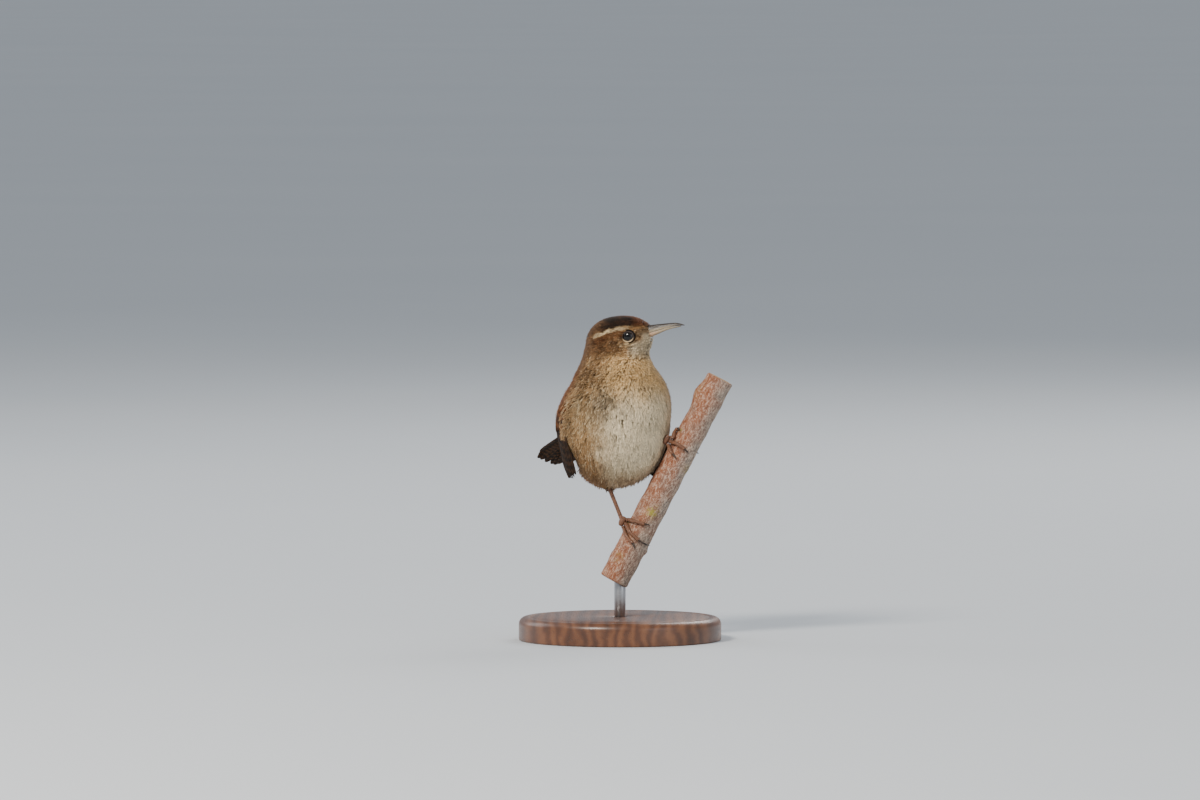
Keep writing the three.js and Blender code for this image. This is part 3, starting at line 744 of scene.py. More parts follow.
class Build:
    """The outline of the feathered bird: rounded masses of head, neck and torso, smoothed into one."""

    STRIDE = 0.6
    FAR = 40.0
    HALVINGS = 10

    @staticmethod
    def field(points: Array) -> Array:
        """Distance to the outline, below zero inside: the masses joined by smooth unions."""
        body, head = TORSO.local(points), HEAD.local(points)
        torso = ellipsoid(body, (0.8, 0.8, 80.2), (19.0, 20.6, 21.2))
        torso = blend(torso, ellipsoid(body, (3.0, 4.2, 92.0), (15.6, 17.0, 15.0)), 7)
        torso = blend(torso, ellipsoid(body, (-5.5, 0.4, 88.0), (14.0, 15.0, 18.0)), 7)
        torso = blend(torso, cone(points, TORSO.at(-10, 0, 83), TORSO.at(-25.5, -0.5, 80.5), 9.5, 3.6), 7)
        torso = blend(torso, cone(points, TORSO.at(-4, 0, 72), TORSO.at(-18, -0.3, 77), 10, 4.5), 6)
        nape = cone(points, HEAD.at(-7.0, 0, -1.9), TORSO.at(-3.6, 0.8, 101), 9.2, 12.0)
        throat = cone(points, HEAD.at(2.9, 0, -4.2), TORSO.at(5.2, 4.0, 100), 5.0, 11.3)
        skull = ellipsoid(head, (-0.4, 0, 0.1), (10.6, 7.8, 8.0))
        face = cone(points, HEAD.at(2.6, 0, -0.4), HEAD.at(9.4, 0, 1.9), 6.2, 1.7)
        whole = blend(blend(torso, blend(nape, throat, 4), 6), blend(skull, face, 3), 4)
        for thigh in THIGHS.values():
            whole = blend(whole, thigh.distance(points), 2.0)
        return whole

    @classmethod
    def settle(cls, points: Array, height: Array | float) -> tuple[Array, Array]:
        """Points moved along the outward direction to a height over the outline, with that direction."""
        step = 0.05
        parts = [cls.field(points + step * axis) - cls.field(points - step * axis) for axis in np.eye(3)]
        normal = unit(np.stack(parts, axis=-1))
        return points + normal * (height - cls.field(points))[..., None], normal

    @classmethod
    def reach(cls, origins: Array, directions: Array, level: Level | float = 0.0) -> Array:
        """Distance along each ray to the last point under a level of the field: steps in, then halves."""

        def over(distance: Array) -> Array:
            """Field less the level at a distance along each ray."""
            points = origins + distance[..., None] * directions
            return cls.field(points) - (level(points) if callable(level) else level)

        outside = np.full(origins.shape[:-1], cls.FAR)
        for _ in range(int(cls.FAR / cls.STRIDE) - 2):
            moving = over(outside - cls.STRIDE) > 0
            outside = np.where(moving, outside - cls.STRIDE, outside)
            if not moving.any():
                break
        inside = outside - cls.STRIDE
        for _ in range(cls.HALVINGS):
            middle = (inside + outside) / 2
            above = over(middle) > 0
            outside, inside = np.where(above, middle, outside), np.where(above, inside, middle)
        return inside


@dataclass(frozen=True)
class Surface:
    """The outline seen from a line inside the bird: shares down from crown to belly, and turns round it."""

    cap: int = 34
    side: int = 96
    low: float = 76.0
    high: float = 114.0

    def points(self, down: Array, turn: Array, level: Level | float = 0.0) -> Array:
        """Points of the outline, or of a level inside it, where rays from the line meet it.

        Args:
            down: 0 at the crown to 1 at the belly; rays tilt about an end of the line, or lie level.
            turn: angle from the front, in radians.
            level: height over the outline, below zero inside.

        Returns:
            One point for each pair of down and turn.
        """
        rows = 2 * self.cap + self.side
        place = down * rows
        under = np.where(place > rows - self.cap, -(place - rows + self.cap) / self.cap, 0.0)
        tilt = np.where(place < self.cap, 1 - place / self.cap, under) * np.pi / 2
        z = self.high + (self.low - self.high) * np.clip((place - self.cap) / self.side, 0, 1)
        lean = smooth(z, 96.0, self.high)[..., None] * np.array([1, 1, 0])
        foot = TORSO.origin + (HEAD.origin - TORSO.origin) * lean
        origin = np.concatenate([foot[..., :2], z[..., None]], axis=-1)
        direction = spun(spun(TORSO.forward, TORSO.left, turn), UP, tilt)
        return origin + Build.reach(origin, direction, level)[..., None] * direction


# Colours of the plumage


class Ink(Enum):
    """Named colours of the plumage."""

    CROWN = (36, 26, 19)
    FOREHEAD = (104, 62, 36)
    BROW = (204, 180, 142)
    BROW_FRONT = (150, 114, 76)
    EYE_LINE = (84, 54, 32)
    CHEEK = (152, 118, 82)
    EAR = (114, 84, 56)
    SPECK = (52, 36, 25)
    GAPE = (214, 194, 162)
    THROAT = (216, 200, 172)
    NAPE = (96, 68, 44)
    NECK_SIDE = (140, 108, 74)
    BREAST = (208, 168, 116)
    BELLY = (222, 202, 168)
    FLANK = (152, 122, 86)
    LOW_FLANK = (140, 106, 70)
    VENT = (122, 92, 60)
    BACK = (112, 68, 38)
    MANTLE = (24, 18, 15)
    RUMP = (130, 84, 48)
    SMUDGE = (84, 74, 62)


ARC = 0.34
SPOTS = ((-30.0, 93.0, 1.2), (-17.0, 88.2, 0.8), (-26.0, 90.6, 0.8), (-42.0, 75.0, 1.2))


def painted(*layers: tuple[Ink | Array, Array | float]) -> Array:
    """Colours laid over each other in turn, each by its share; the first one is the ground."""
    colour = np.zeros(3)
    for over, share in layers:
        colour = mix(colour, tone(*over.value) if isinstance(over, Ink) else over, share)
    return colour


def body_colours(points: Array) -> Array:
    """Pale belly, buff breast, streaked brown flanks, rusty back and a black mantle with white streaks."""
    _, left, z, turn = around_torso(points)
    streak = value_noise(np.stack([turn * ARC, z * 0.22, 0 * z], axis=-1), 1.1, 2)
    broad = value_noise(points, 4.0, 3)
    aside = np.where(turn < 0, -turn, turn - 14.0) + 16.0 * (broad - 0.5) + 8.0 * (streak - 0.5)
    sides = smooth(aside, 24.0, 62.0)
    high = (Ink.NECK_SIDE, smooth(z, 90.0, 103.0))
    flank = painted((Ink.LOW_FLANK, 1), (Ink.FLANK, smooth(z, 66.0, 86.0)), high)
    smudge = bell((turn + 40) / 17, (z - 91) / 6.0) * (0.35 + 1.1 * value_noise(points, 1.6, 5))
    front = painted(
        (Ink.BELLY, 1),
        (Ink.BREAST, smooth(z + 5 * value_noise(points, 5, 1), 89.0, 103.0)),
        (flank, sides),
        (Ink.SPECK, 0.55 * sides * smooth(streak, 0.62, 0.85)),
        (Ink.BROW, 0.5 * sides * smooth(streak, 0.36, 0.16)),
        (Ink.VENT, smooth(z + 5 * streak, 71.0, 63.0) * 0.75),
        (Ink.SMUDGE, np.clip(smudge, 0, 0.85)),
        *[(Ink.MANTLE, 0.75 * bell((turn - at) * ARC / size, (z - level) / size))
          for at, level, size in SPOTS],
    )
    half = np.interp(z, [85.0, 90.0, 101.0], [2.5, 6.5, 9.5]) + 1.6 * (value_noise(points, 2.0, 9) - 0.5)
    wander = 1.3 * value_noise(points * np.array([1.0, 1.0, 0.35]), 3.0, 6)
    stripe = smooth(np.abs(np.sin(left * 1.35 + wander)), 0.84, 0.96) * smooth(streak, 0.25, 0.5)
    streaked = painted((Ink.MANTLE, 1), (Ink.BROW, stripe * 0.85))
    back = painted(
        (Ink.BACK, 1),
        (Ink.RUMP, smooth(z, 92.0, 84.0)),
        (Ink.NAPE, smooth(z, 99.0, 106.0)),
        (Ink.SPECK, 0.3 * smooth(streak, 0.6, 0.8)),
        (streaked, smooth(np.abs(left), half + 0.6, half - 0.6) * between(z, 84.0, 87.5, 101.5, 105.5)),
    )
    return mix(front, back, smooth(np.abs(turn) + 8.0 * (streak - 0.5), 94.0, 110.0))


def head_colours(points: Array) -> Array:
    """Dark crown, pale streaky brow, brown eye line, speckled cheek and pale throat."""
    forward, left, up = HEAD.local(points).T
    wobble = 0.7 * (value_noise(points, 1.3, 7) - 0.5)
    speck = smooth(value_noise(points, 0.8, 8), 0.52, 0.7)
    cheek = painted(
        (Ink.EAR, 1),
        (Ink.CHEEK, smooth(forward, -3.0, 1.5)),
        (Ink.SPECK, 0.7 * speck * smooth(forward, -8.0, -3.0) * smooth(up, -8.0, -4.0)),
    )
    pale = smooth(up - 0.55 * forward + 1.5 * wobble, -4.2, -6.6) * smooth(forward + 0.25 * up, -0.6, 1.8)
    back = np.minimum(forward, 0.0)
    droop = 0.12 * back + 0.14 * np.minimum(forward + 5.5, 0.0) - 0.06 * np.maximum(forward, 0.0)
    line = 3.5 + droop + 0.6 * wobble
    wide = 0.4 - 0.03 * back
    brow = painted(
        (Ink.BROW_FRONT, 1),
        (Ink.BROW, smooth(forward, 4.0, 0.5)),
        (Ink.EAR, 0.6 * smooth(value_noise(points, 0.6, 12), 0.42, 0.72)),
    )
    under_brow = between(up, line - 4.2, line - 2.9, line - 0.7, line + 0.2)
    under_brow = under_brow * between(forward, -12.5, -9.5, 0.4, 2.2)
    middle = smooth(np.abs(left), 2.6, 1.0) * smooth(forward, -6.0, 1.0)
    rust = 0.8 * smooth(forward, 2.0, 6.5) + 0.55 * middle
    crown = painted(
        (Ink.CROWN, 1),
        (Ink.FOREHEAD, np.clip(rust + 0.5 * wobble, 0, 1)),
        (Ink.NAPE, 0.75 * smooth(forward, -5.5, -9.5)),
    )
    return painted(
        (Ink.NAPE, 1),
        (cheek, smooth(forward + 0.4 * wobble, -9.0, -4.0)),
        (Ink.NECK_SIDE, smooth(up, -5.0, -8.5)),
        (painted((Ink.THROAT, 1), (Ink.BREAST, 0.22)), 0.95 * pale * smooth(up, -12.5, -8.0)),
        (Ink.GAPE, 0.8 * smooth(forward, 6.6, 8.2) * smooth(up, 1.6, 0.4)),
        (Ink.BROW, 0.6 * bell((forward - 2.6) / 2.6, (up + 2.9) / 0.8) * (1 - 0.6 * speck)),
        (Ink.SMUDGE, 0.5 * smooth(forward, 4.4, 6.0) * smooth(np.abs(up - 1.5), 1.9, 0.6)),
        (Ink.NAPE, smooth(forward + 0.3 * up, -6.0, -9.5)),
        (Ink.EYE_LINE, under_brow * (0.65 + 0.5 * speck)),
        (brow, smooth(np.abs(up - line), wide + 0.3, wide - 0.2) * between(forward, -12.0, -9.0, 6.5, 8.5)),
        (crown, smooth(up, line + wide - 0.1, line + wide + 0.7)),
    )


def plumage(points: Array) -> Array:
    """Colours of the plumage by place on the bird: the body's, then the head's over them."""
    return mix(body_colours(points), head_colours(points), smooth(points[:, 2], 106.0, 112.0))


# The coat


@dataclass(frozen=True)
class WingPlan:
    """Where a folded wing lies: its front and back edge, as turns in degrees, at heights."""

    wrap: float = 19.5
    rise: float = 1.1
    slim_under: float = 74.0
    heights: tuple = (68.0, 74.0, 80.0, 86.0, 92.0, 97.5, 101.5)
    front: tuple = (80.0, 84.0, 88.0, 88.0, 85.0, 80.0, 82.0)
    back: tuple = (130.0, 143.0, 148.0, 144.0, 134.0, 118.0, 98.0)

    def edges(self, z: Array) -> tuple[Array, Array]:
        """Turns of the front and back edge at a height."""
        return np.interp(z, self.heights, self.front), np.interp(z, self.heights, self.back)

    def outside(self, points: Array) -> Array:
        """Distance in mm from the wing's edge round the body, below zero on the wing."""
        _, _, z, turn = around_torso(points)
        front, back = self.edges(z)
        aside = np.maximum(front - np.abs(turn), np.abs(turn) - back) * math.radians(self.wrap)
        return np.maximum(aside, z - self.heights[-1])

    def place(self, side: int, arc: Array, z: Array, lift: Array | float) -> Array:
        """Points at an arc round the body in mm and a height, lifted over the flank; slimmer low down."""
        turn = arc / self.wrap
        direction = spun(TORSO.forward, side * TORSO.left, turn)
        reach = Build.reach(TORSO.at(0 * z, 0 * z, np.maximum(z, self.slim_under)), direction)
        slim = np.sqrt(1 - ((np.minimum(z, self.slim_under) - 80) / 30) ** 2)
        slim = slim / math.sqrt(1 - ((self.slim_under - 80) / 30) ** 2)
        tucked = 1.0 - 0.8 * smooth(z, 84.0, 98.0)
        radius = reach * slim + (self.rise + lift) * tucked
        return TORSO.at(radius * np.cos(turn), side * radius * np.sin(turn), z)


PLAN = WingPlan()


@dataclass(frozen=True)
class Tract:
    """Sizes of the small feathers of a stretch of the bird, in millimetres."""

    gap_down: float
    gap_across: float
    length: float
    barbs: int
    barb_width: float


HEAD_TRACT = Tract(gap_down=0.85, gap_across=0.95, length=2.6, barbs=9, barb_width=0.3)
NECK_TRACT = Tract(gap_down=1.15, gap_across=1.25, length=3.9, barbs=14, barb_width=0.36)
BODY_TRACT = Tract(gap_down=1.75, gap_across=1.8, length=6.4, barbs=22, barb_width=0.44)


class Region(Enum):
    """Tracts of small feathers, each its own piece: name, sizes, and shares down where it starts and ends."""

    CROWN = ("coat_crown", HEAD_TRACT, 0.0, 0.16)
    FACE = ("coat_face", HEAD_TRACT, 0.16, 0.27)
    NECK = ("coat_neck", NECK_TRACT, 0.26, 0.42)
    BREAST = ("coat_breast", BODY_TRACT, 0.41, 0.53)
    FLANK = ("coat_flank", BODY_TRACT, 0.52, 0.66)
    BELLY = ("coat_belly", BODY_TRACT, 0.65, 0.76)
    VENT = ("coat_vent", BODY_TRACT, 0.75, 0.86)
    UNDER = ("coat_under", BODY_TRACT, 0.85, 0.995)


@dataclass(frozen=True)
class Barb:
    """Four sections of a barb from root to tip: three with two edges and a ridge, then the point."""

    shares: Array = field(default_factory=lambda: np.array([0.0, 0.42, 0.8, 1.0]))
    wide: Array = field(default_factory=lambda: np.array([0.55, 1.0, 0.72, 0.0]))
    rise: Array = field(default_factory=lambda: np.array([-0.95, -0.45, -0.13, -0.05]))
    loose: Array = field(default_factory=lambda: np.array([0.0, 0.2, 0.7, 1.0]))
    covers: Array = field(default_factory=lambda: np.array([0.3, 1.0, 1.0, 1.0]))
    light: Array = field(default_factory=lambda: np.array([0.45, 0.82, 1.02, 1.12]))
    ridge: float = 0.12
    patch: float = 0.003

    def by_point(self, values: Array) -> Array:
        """Values of the sections for the ten points: three each, and one for the tip."""
        return np.repeat(values, [3, 3, 3, 1], axis=0)

    def uv(self) -> Array:
        """Offsets of the ten points inside the feather's small patch of the map."""
        across = np.array([-0.5, 0.0, 0.5] * 3 + [0.0])
        return np.stack([across, self.by_point(self.shares)], axis=-1) * self.patch

    @staticmethod
    def faces() -> Array:
        """Triangles: two stretches of three sides, a pointed end and a closed root."""
        edges = ((0, 1), (1, 2), (2, 0))
        sides = [quad for ring in (0, 3) for a, b in edges
                 for quad in ([ring + a, ring + b, ring + 3 + b], [ring + a, ring + 3 + b, ring + 3 + a])]
        return np.array([*sides, *[[6 + a, 6 + b, 9] for a, b in edges], [0, 2, 1]])


BARB = Barb()


@dataclass
class Feathers:
    """Places, lies and sizes of small feathers, one row for each."""

    root: Array
    lie: Array
    normal: Array
    length: Array
    uv: Array


@dataclass
class Coat:
    """Small body feathers: each is a fan of fine solid barbs that follow the lie of the plumage."""

    surface: Surface
    swing: float = 9.0
    fan: tuple[float, float, float] = (6.0, 27.0, 5.0)
    deep: float = 1.7
    deep_head: float = 0.85
    deep_thigh: float = 0.45
    random: np.random.Generator = field(default_factory=lambda: np.random.default_rng(SEED))

    def depth(self, points: Array) -> Array:
        """How far the skin lies under the outline: thin on the face and thighs, thick on the belly."""
        z = points[..., 2]
        depth = self.deep + (self.deep_head - self.deep) * smooth(z, 100.0, 112.0)
        thigh = smooth(Thigh.nearest(points), 1.0, -0.5) * smooth(z, 64.0, 60.0)
        return depth + (self.deep_thigh - depth) * thigh

    @staticmethod
    def lie(points: Array, normal: Array) -> Array:
        """Direction in which feathers point, kept level with the surface.

        Back from the bill on the head, down on the body, in to the vent under it, and back along the rump.
        """
        forward, left, z, turn = around_torso(points)
        rump = smooth(forward, -9.0, -17.0) * smooth(z, 96.0, 86.0)
        flow = -UP + 0.0 * points
        flow = mix(flow, -1.25 * HEAD.forward - 0.45 * UP, smooth(z, 106.0, 114.0))
        flow = mix(flow, unit(TORSO.at(-9.0, 0.0, 55.0) - points), smooth(z, 76.0, 62.0))
        flow = mix(flow, -TORSO.forward - 0.3 * UP, rump)
        lean = between(np.abs(turn), 62.0, 88.0, 96.0, 112.0) * between(z, 64.0, 70.0, 96.0, 102.0)
        flow = flow + 0.22 * (lean * np.sign(left))[:, None] * unit(np.cross(UP, normal))
        return unit(flow - normal * np.sum(flow * normal, axis=-1, keepdims=True))

    def rows(self, tract: Tract, top: float, bottom: float) -> tuple[Array, Array]:
        """Shares down and turns of feather roots: staggered rows, evenly spaced along each row."""
        guide = np.linspace(top, bottom, 240)
        length = run_length(self.surface.points(guide, 0 * guide))
        count = max(int(length[-1] / tract.gap_down), 2)
        turns = np.linspace(0, 2 * np.pi, 181)
        found_down, found_turn = [], []
        for i, down in enumerate(np.interp((np.arange(count) + 0.5) / count * length[-1], length, guide)):
            around = run_length(self.surface.points(0 * turns + down, turns))
            number = max(int(around[-1] / tract.gap_across), 6)
            even = (np.arange(number) + 0.5 * (i % 2) + 0.5 * (self.random.random(number) - 0.5)) / number
            found_turn.append(np.interp((even % 1.0) * around[-1], around, turns))
            found_down.append(down + (self.random.random(number) - 0.5) * 0.6 * (bottom - top) / count)
        return np.clip(np.concatenate(found_down), 0.002, 0.998), np.concatenate(found_turn)

    @staticmethod
    def grows(points: Array) -> Array:
        """Where feathers grow: not under the wings, nor in the eyes, the bill or the tail's root."""
        forward, _, z, _ = around_torso(points)
        inner = smooth(forward, -6.0, -9.0) * smooth(z, 80.0, 86.0)
        over = smooth(z, 84.0, 92.0) - 0.8 * smooth(z, 80.0, 74.0)
        keep = (PLAN.outside(points) > -0.6 - 1.8 * over - 4.0 * inner) | (z > 93.5) | (z < 66.0)
        for name in SIDES:
            offset = points - Eye(name).centre
            margin = 0.12 + 0.75 * smooth(offset @ HEAD.forward, 0.4, 1.6)
            keep &= np.linalg.norm(offset, axis=1) > Eye.radius + margin
        return keep & (forward > -25.0) & ((HEAD.local(points)[:, 0] < 10.2) | (z < 108.0))

    def feathers(self, tract: Tract, top: float, bottom: float) -> Feathers:
        """Small feathers of a tract between two shares down."""
        down, turn = self.rows(tract, top, bottom)
        points = self.surface.points(down, turn)
        keep = self.grows(points)
        points, uv = points[keep], np.stack([turn / (2 * np.pi), down], axis=-1)[keep]
        root, normal = Build.settle(points, -self.depth(points) * 0.9)
        lie = self.lie(points, normal)
        swing = np.radians(self.swing) * self.random.standard_normal(len(points))
        lie = spun(lie, np.cross(normal, lie), swing)
        return Feathers(root, lie, normal, tract.length * self.sizes(points), uv)

    def sizes(self, points: Array) -> Array:
        """Length of feathers against the tract's: smallest round the bill and eyes and on the thighs."""
        z = points[:, 2]
        face = smooth(HEAD.local(points)[:, 0], 0.0, 9.0) * smooth(z, 106.0, 112.0)
        small = smooth(Thigh.nearest(points), 0.8, -0.2) * smooth(z, 63.0, 59.0)
        return (1.0 - 0.58 * face) * (1.0 - 0.55 * small) * (0.88 + 0.24 * self.random.random(len(points)))

    def barbs(self, tract: Tract, feathers: Feathers) -> Draft:
        """Barbs of each feather: they leave the shaft in turn on either side and end on a round outline.

        Each barb is a closed blade of three-sided sections that narrows to a point. Its sections are set at
        heights over the outline, so that it leaves the skin and lies down again along the plumage.
        """
        count, barbs = len(feathers.root), tract.barbs
        order = (np.arange(barbs) + 0.5) / barbs
        side = np.where(np.arange(barbs) % 2 == 0, 1.0, -1.0)
        least, spread, jitter = np.radians(self.fan)
        angle = side * (least + spread * (1.0 - order)) + jitter * self.random.standard_normal((count, barbs))
        size = feathers.length[:, None]
        long = (size * (0.44 + 0.05 * self.random.standard_normal((count, barbs)))).ravel()
        lie, across = feathers.lie[:, None], np.cross(feathers.normal, feathers.lie)[:, None]
        way = spun(lie, across, angle).reshape(-1, 3)
        base = (feathers.root[:, None] + lie * (0.52 * order * size)[..., None]).reshape(-1, 3)
        points = base[:, None] + way[:, None] * (BARB.shares * long[:, None])[..., None]
        z = base[:, 2]
        fluffy = 1.0 + 4.5 * smooth(z, 76.0, 64.0) + 1.2 * between(z, 80.0, 96.0, 100.0, 108.0)
        loose = 0.12 + 0.34 * fluffy * self.random.random(len(base)) ** 3
        loose = loose * (0.4 + 0.6 * np.tile(order, count))
        heights = self.depth(base)[:, None] * BARB.rise + BARB.loose * loose[:, None]
        heights = heights + self.cover(points) * BARB.covers
        settled, outward = Build.settle(points, heights)
        edge = unit(np.cross(outward, way[:, None])) * (0.5 * tract.barb_width * BARB.wide)[:, None]
        edge = edge * (long / long.mean())[:, None, None] ** 0.5
        ridge = outward * (BARB.ridge * BARB.wide)[:, None]
        body = np.stack([settled + edge, settled + ridge, settled - edge], axis=2)[:, :3].reshape(-1, 9, 3)
        blades = np.concatenate([body, settled[:, 3:]], axis=1)
        triangles = BARB.faces() + 10 * np.arange(len(blades))[:, None, None]
        aside = 2 * unit(edge + 1e-9)
        fanned = unit(np.stack([outward + aside, outward, outward - aside], axis=2))
        shading = unit(0.8 * outward[:, :, None] + 0.2 * fanned)[:, :3].reshape(-1, 9, 3)
        normals = np.concatenate([shading, outward[:, 3:]], axis=1)
        uv = np.repeat(feathers.uv, barbs, axis=0)[:, None] + BARB.uv()
        return Draft(
            blades.reshape(-1, 3),
            [triangles.reshape(-1, 3)],
            colours=self.shades(feathers, settled[:, 2], barbs).reshape(-1, 3),
            normals=normals.reshape(-1, 3),
            uvs={"OFBake": uv.reshape(-1, 2)},
        )

    @staticmethod
    def cover(points: Array) -> Array:
        """Extra height of the feathers that lie over the folded wings' edges, further on the left breast."""
        flat = points.reshape(-1, 3)
        forward, left, z, _ = around_torso(flat)
        margin = np.where((left > 0) & (forward > 0), 7.5, 3.8)
        share = smooth((margin - PLAN.outside(flat)) / margin, 0, 1) * between(z, 72.0, 80.0, 101.0, 107.0)
        return (2.4 * share * (1.0 - 0.66 * smooth(z, 84.0, 98.0))).reshape(points.shape[:-1])

    def shades(self, feathers: Feathers, settled: Array, barbs: int) -> Array:
        """Colours of the barbs: partly the marking at the feather's middle, varied by feather and by barb."""
        count = len(feathers.root)
        middle = feathers.root + feathers.lie * (0.6 * feathers.length)[:, None]
        base = 0.35 * np.repeat(plumage(middle), barbs, axis=0) + 0.65 * plumage(settled)
        vary = 0.13 + 0.09 * smooth(feathers.root[:, 2:], 104.0, 110.0)
        feather = 1.0 + vary * self.random.standard_normal((count, 1))
        single = 1.0 + vary * self.random.standard_normal((count, barbs))
        light = np.clip(feather * single, 0.55, 1.6).ravel()
        pale = (self.random.random(count * barbs) < 0.16) * smooth(base.mean(axis=1), 0.02, 0.2)
        base = mix(base, tone(226, 208, 174), 0.34 * pale) * light[:, None]
        return base[:, None] * BARB.by_point(BARB.light)[:, None]

    def skin(self) -> None:
        """One skin under the feathers, a little darker, in place of head, neck, torso and thighs."""
        rows, columns = 150, 192
        down, turn = np.meshgrid((np.arange(rows) + 0.5) / rows, circle(columns), indexing="ij")
        points = self.surface.points(down, turn, lambda p: -self.depth(p))
        dark = 0.5 + 0.35 * smooth(points[..., 2:], 107.0, 112.0)
        shade = dark * plumage(points.reshape(-1, 3)).reshape(points.shape)
        nodes = ("head", "neck", "torso", "thigh_left", "thigh_right")
        loft(points, colours=shade).piece("skin", "plumage", Finish.DOWN, *nodes)

    def build(self) -> None:
        """Makes the skin and the feathers, parted into tracts so that no piece is too heavy."""
        self.skin()
        for region in Region:
            name, tract, top, bottom = region.value
            self.barbs(tract, self.feathers(tract, top, bottom)).piece(name, "plumage", Finish.DOWN)


# Wings and tail


STEPS = 26
EDGES = np.linspace(-1, 1, 9)
THICKNESS = 0.22


def vane_grid(steps: int, power: float) -> tuple[Array, Array]:
    """Shares along a vane, closer together at its tip, and places across it."""
    share = (1 - (1 - np.linspace(0, 1, steps)) ** power)[:, None] + 0 * EDGES
    return share, EDGES[None] + 0 * share


def vane_width(share: Array, edge: Array, ripple: Array) -> Array:
    """Half width along a vane: it widens from the root and closes on a round tip, with rippled edges."""
    closing = np.sqrt(np.clip(1 - ((share - 0.72) / 0.28) ** 2, 0.0, 1.0))
    width = np.where(share < 0.72, 0.6 + 0.4 * smooth(share, 0.0, 0.45), np.maximum(closing, 0.06))
    return width * (1 + 0.03 * np.sin(ripple) * np.abs(edge))


def vane_colours(share: Array, edge: Array, bars: float, dark: Array, light: Array, seed: int) -> Array:
    """Dark vane with paler bars that bend towards the tip, strongest on the outer web, and a pale fringe."""
    wave = np.sin(2 * np.pi * (bars * share - 0.35 * np.abs(edge)) + seed)
    bar = smooth(wave, 0.0, 0.55) * smooth(edge, 0.25, -0.35) * smooth(share, 0.02, 0.15)
    fringe = smooth(np.abs(edge), 0.8, 1.0) * 0.35 + smooth(share, 0.93, 1.0) * 0.3
    colour = mix(dark, light, np.clip(bar * 0.8 + fringe, 0, 1))
    return colour * (1 - 0.35 * bell((edge + 0.25) / 0.09)[..., None])


@dataclass(frozen=True)
class VaneRow:
    """A row of wing feathers from first to last.

    Roots and tips are given as turn in degrees and height; low and high are the lifts of a vane's two edges.
    """

    count: int
    roots: tuple[tuple[float, float], tuple[float, float]]
    tips: tuple[tuple[float, float], tuple[float, float]]
    half: float
    low: float
    high: float
    dip: float
    bars: float
    shaft: float
    dark: tuple[int, int, int]
    light: tuple[int, int, int]


FLIGHT = ((13, 10, 8), (58, 39, 25))
ROWS = (
    VaneRow(9, ((94, 87), (114, 86)), ((79, 63.8), (119, 62.7)), 2.1, 0.05, 0.5, 0.7, 8.0, -0.45, *FLIGHT),
    VaneRow(7, ((112, 88), (136, 88)), ((121, 64.5), (142, 68.3)), 2.1, 0.15, 0.65, 0.0, 8.0, -0.3, *FLIGHT),
    VaneRow(3, ((134, 91), (142, 90)), ((139, 69), (150, 76)), 2.7, 0.35, 0.95, 0.0, 6.0, -0.1,
            (22, 16, 13), (122, 84, 50)),
    VaneRow(9, ((90, 92), (134, 91)), ((94, 81.0), (140, 80.5)), 1.9, 0.45, 1.0, 0.8, 3.0, -0.1,
            (40, 26, 17), (112, 68, 38)),
    VaneRow(8, ((85, 98), (122, 96)), ((90, 88.5), (130, 88)), 2.0, 0.65, 1.2, 0.6, 2.0, 0.0,
            (70, 40, 22), (122, 74, 40)),
)


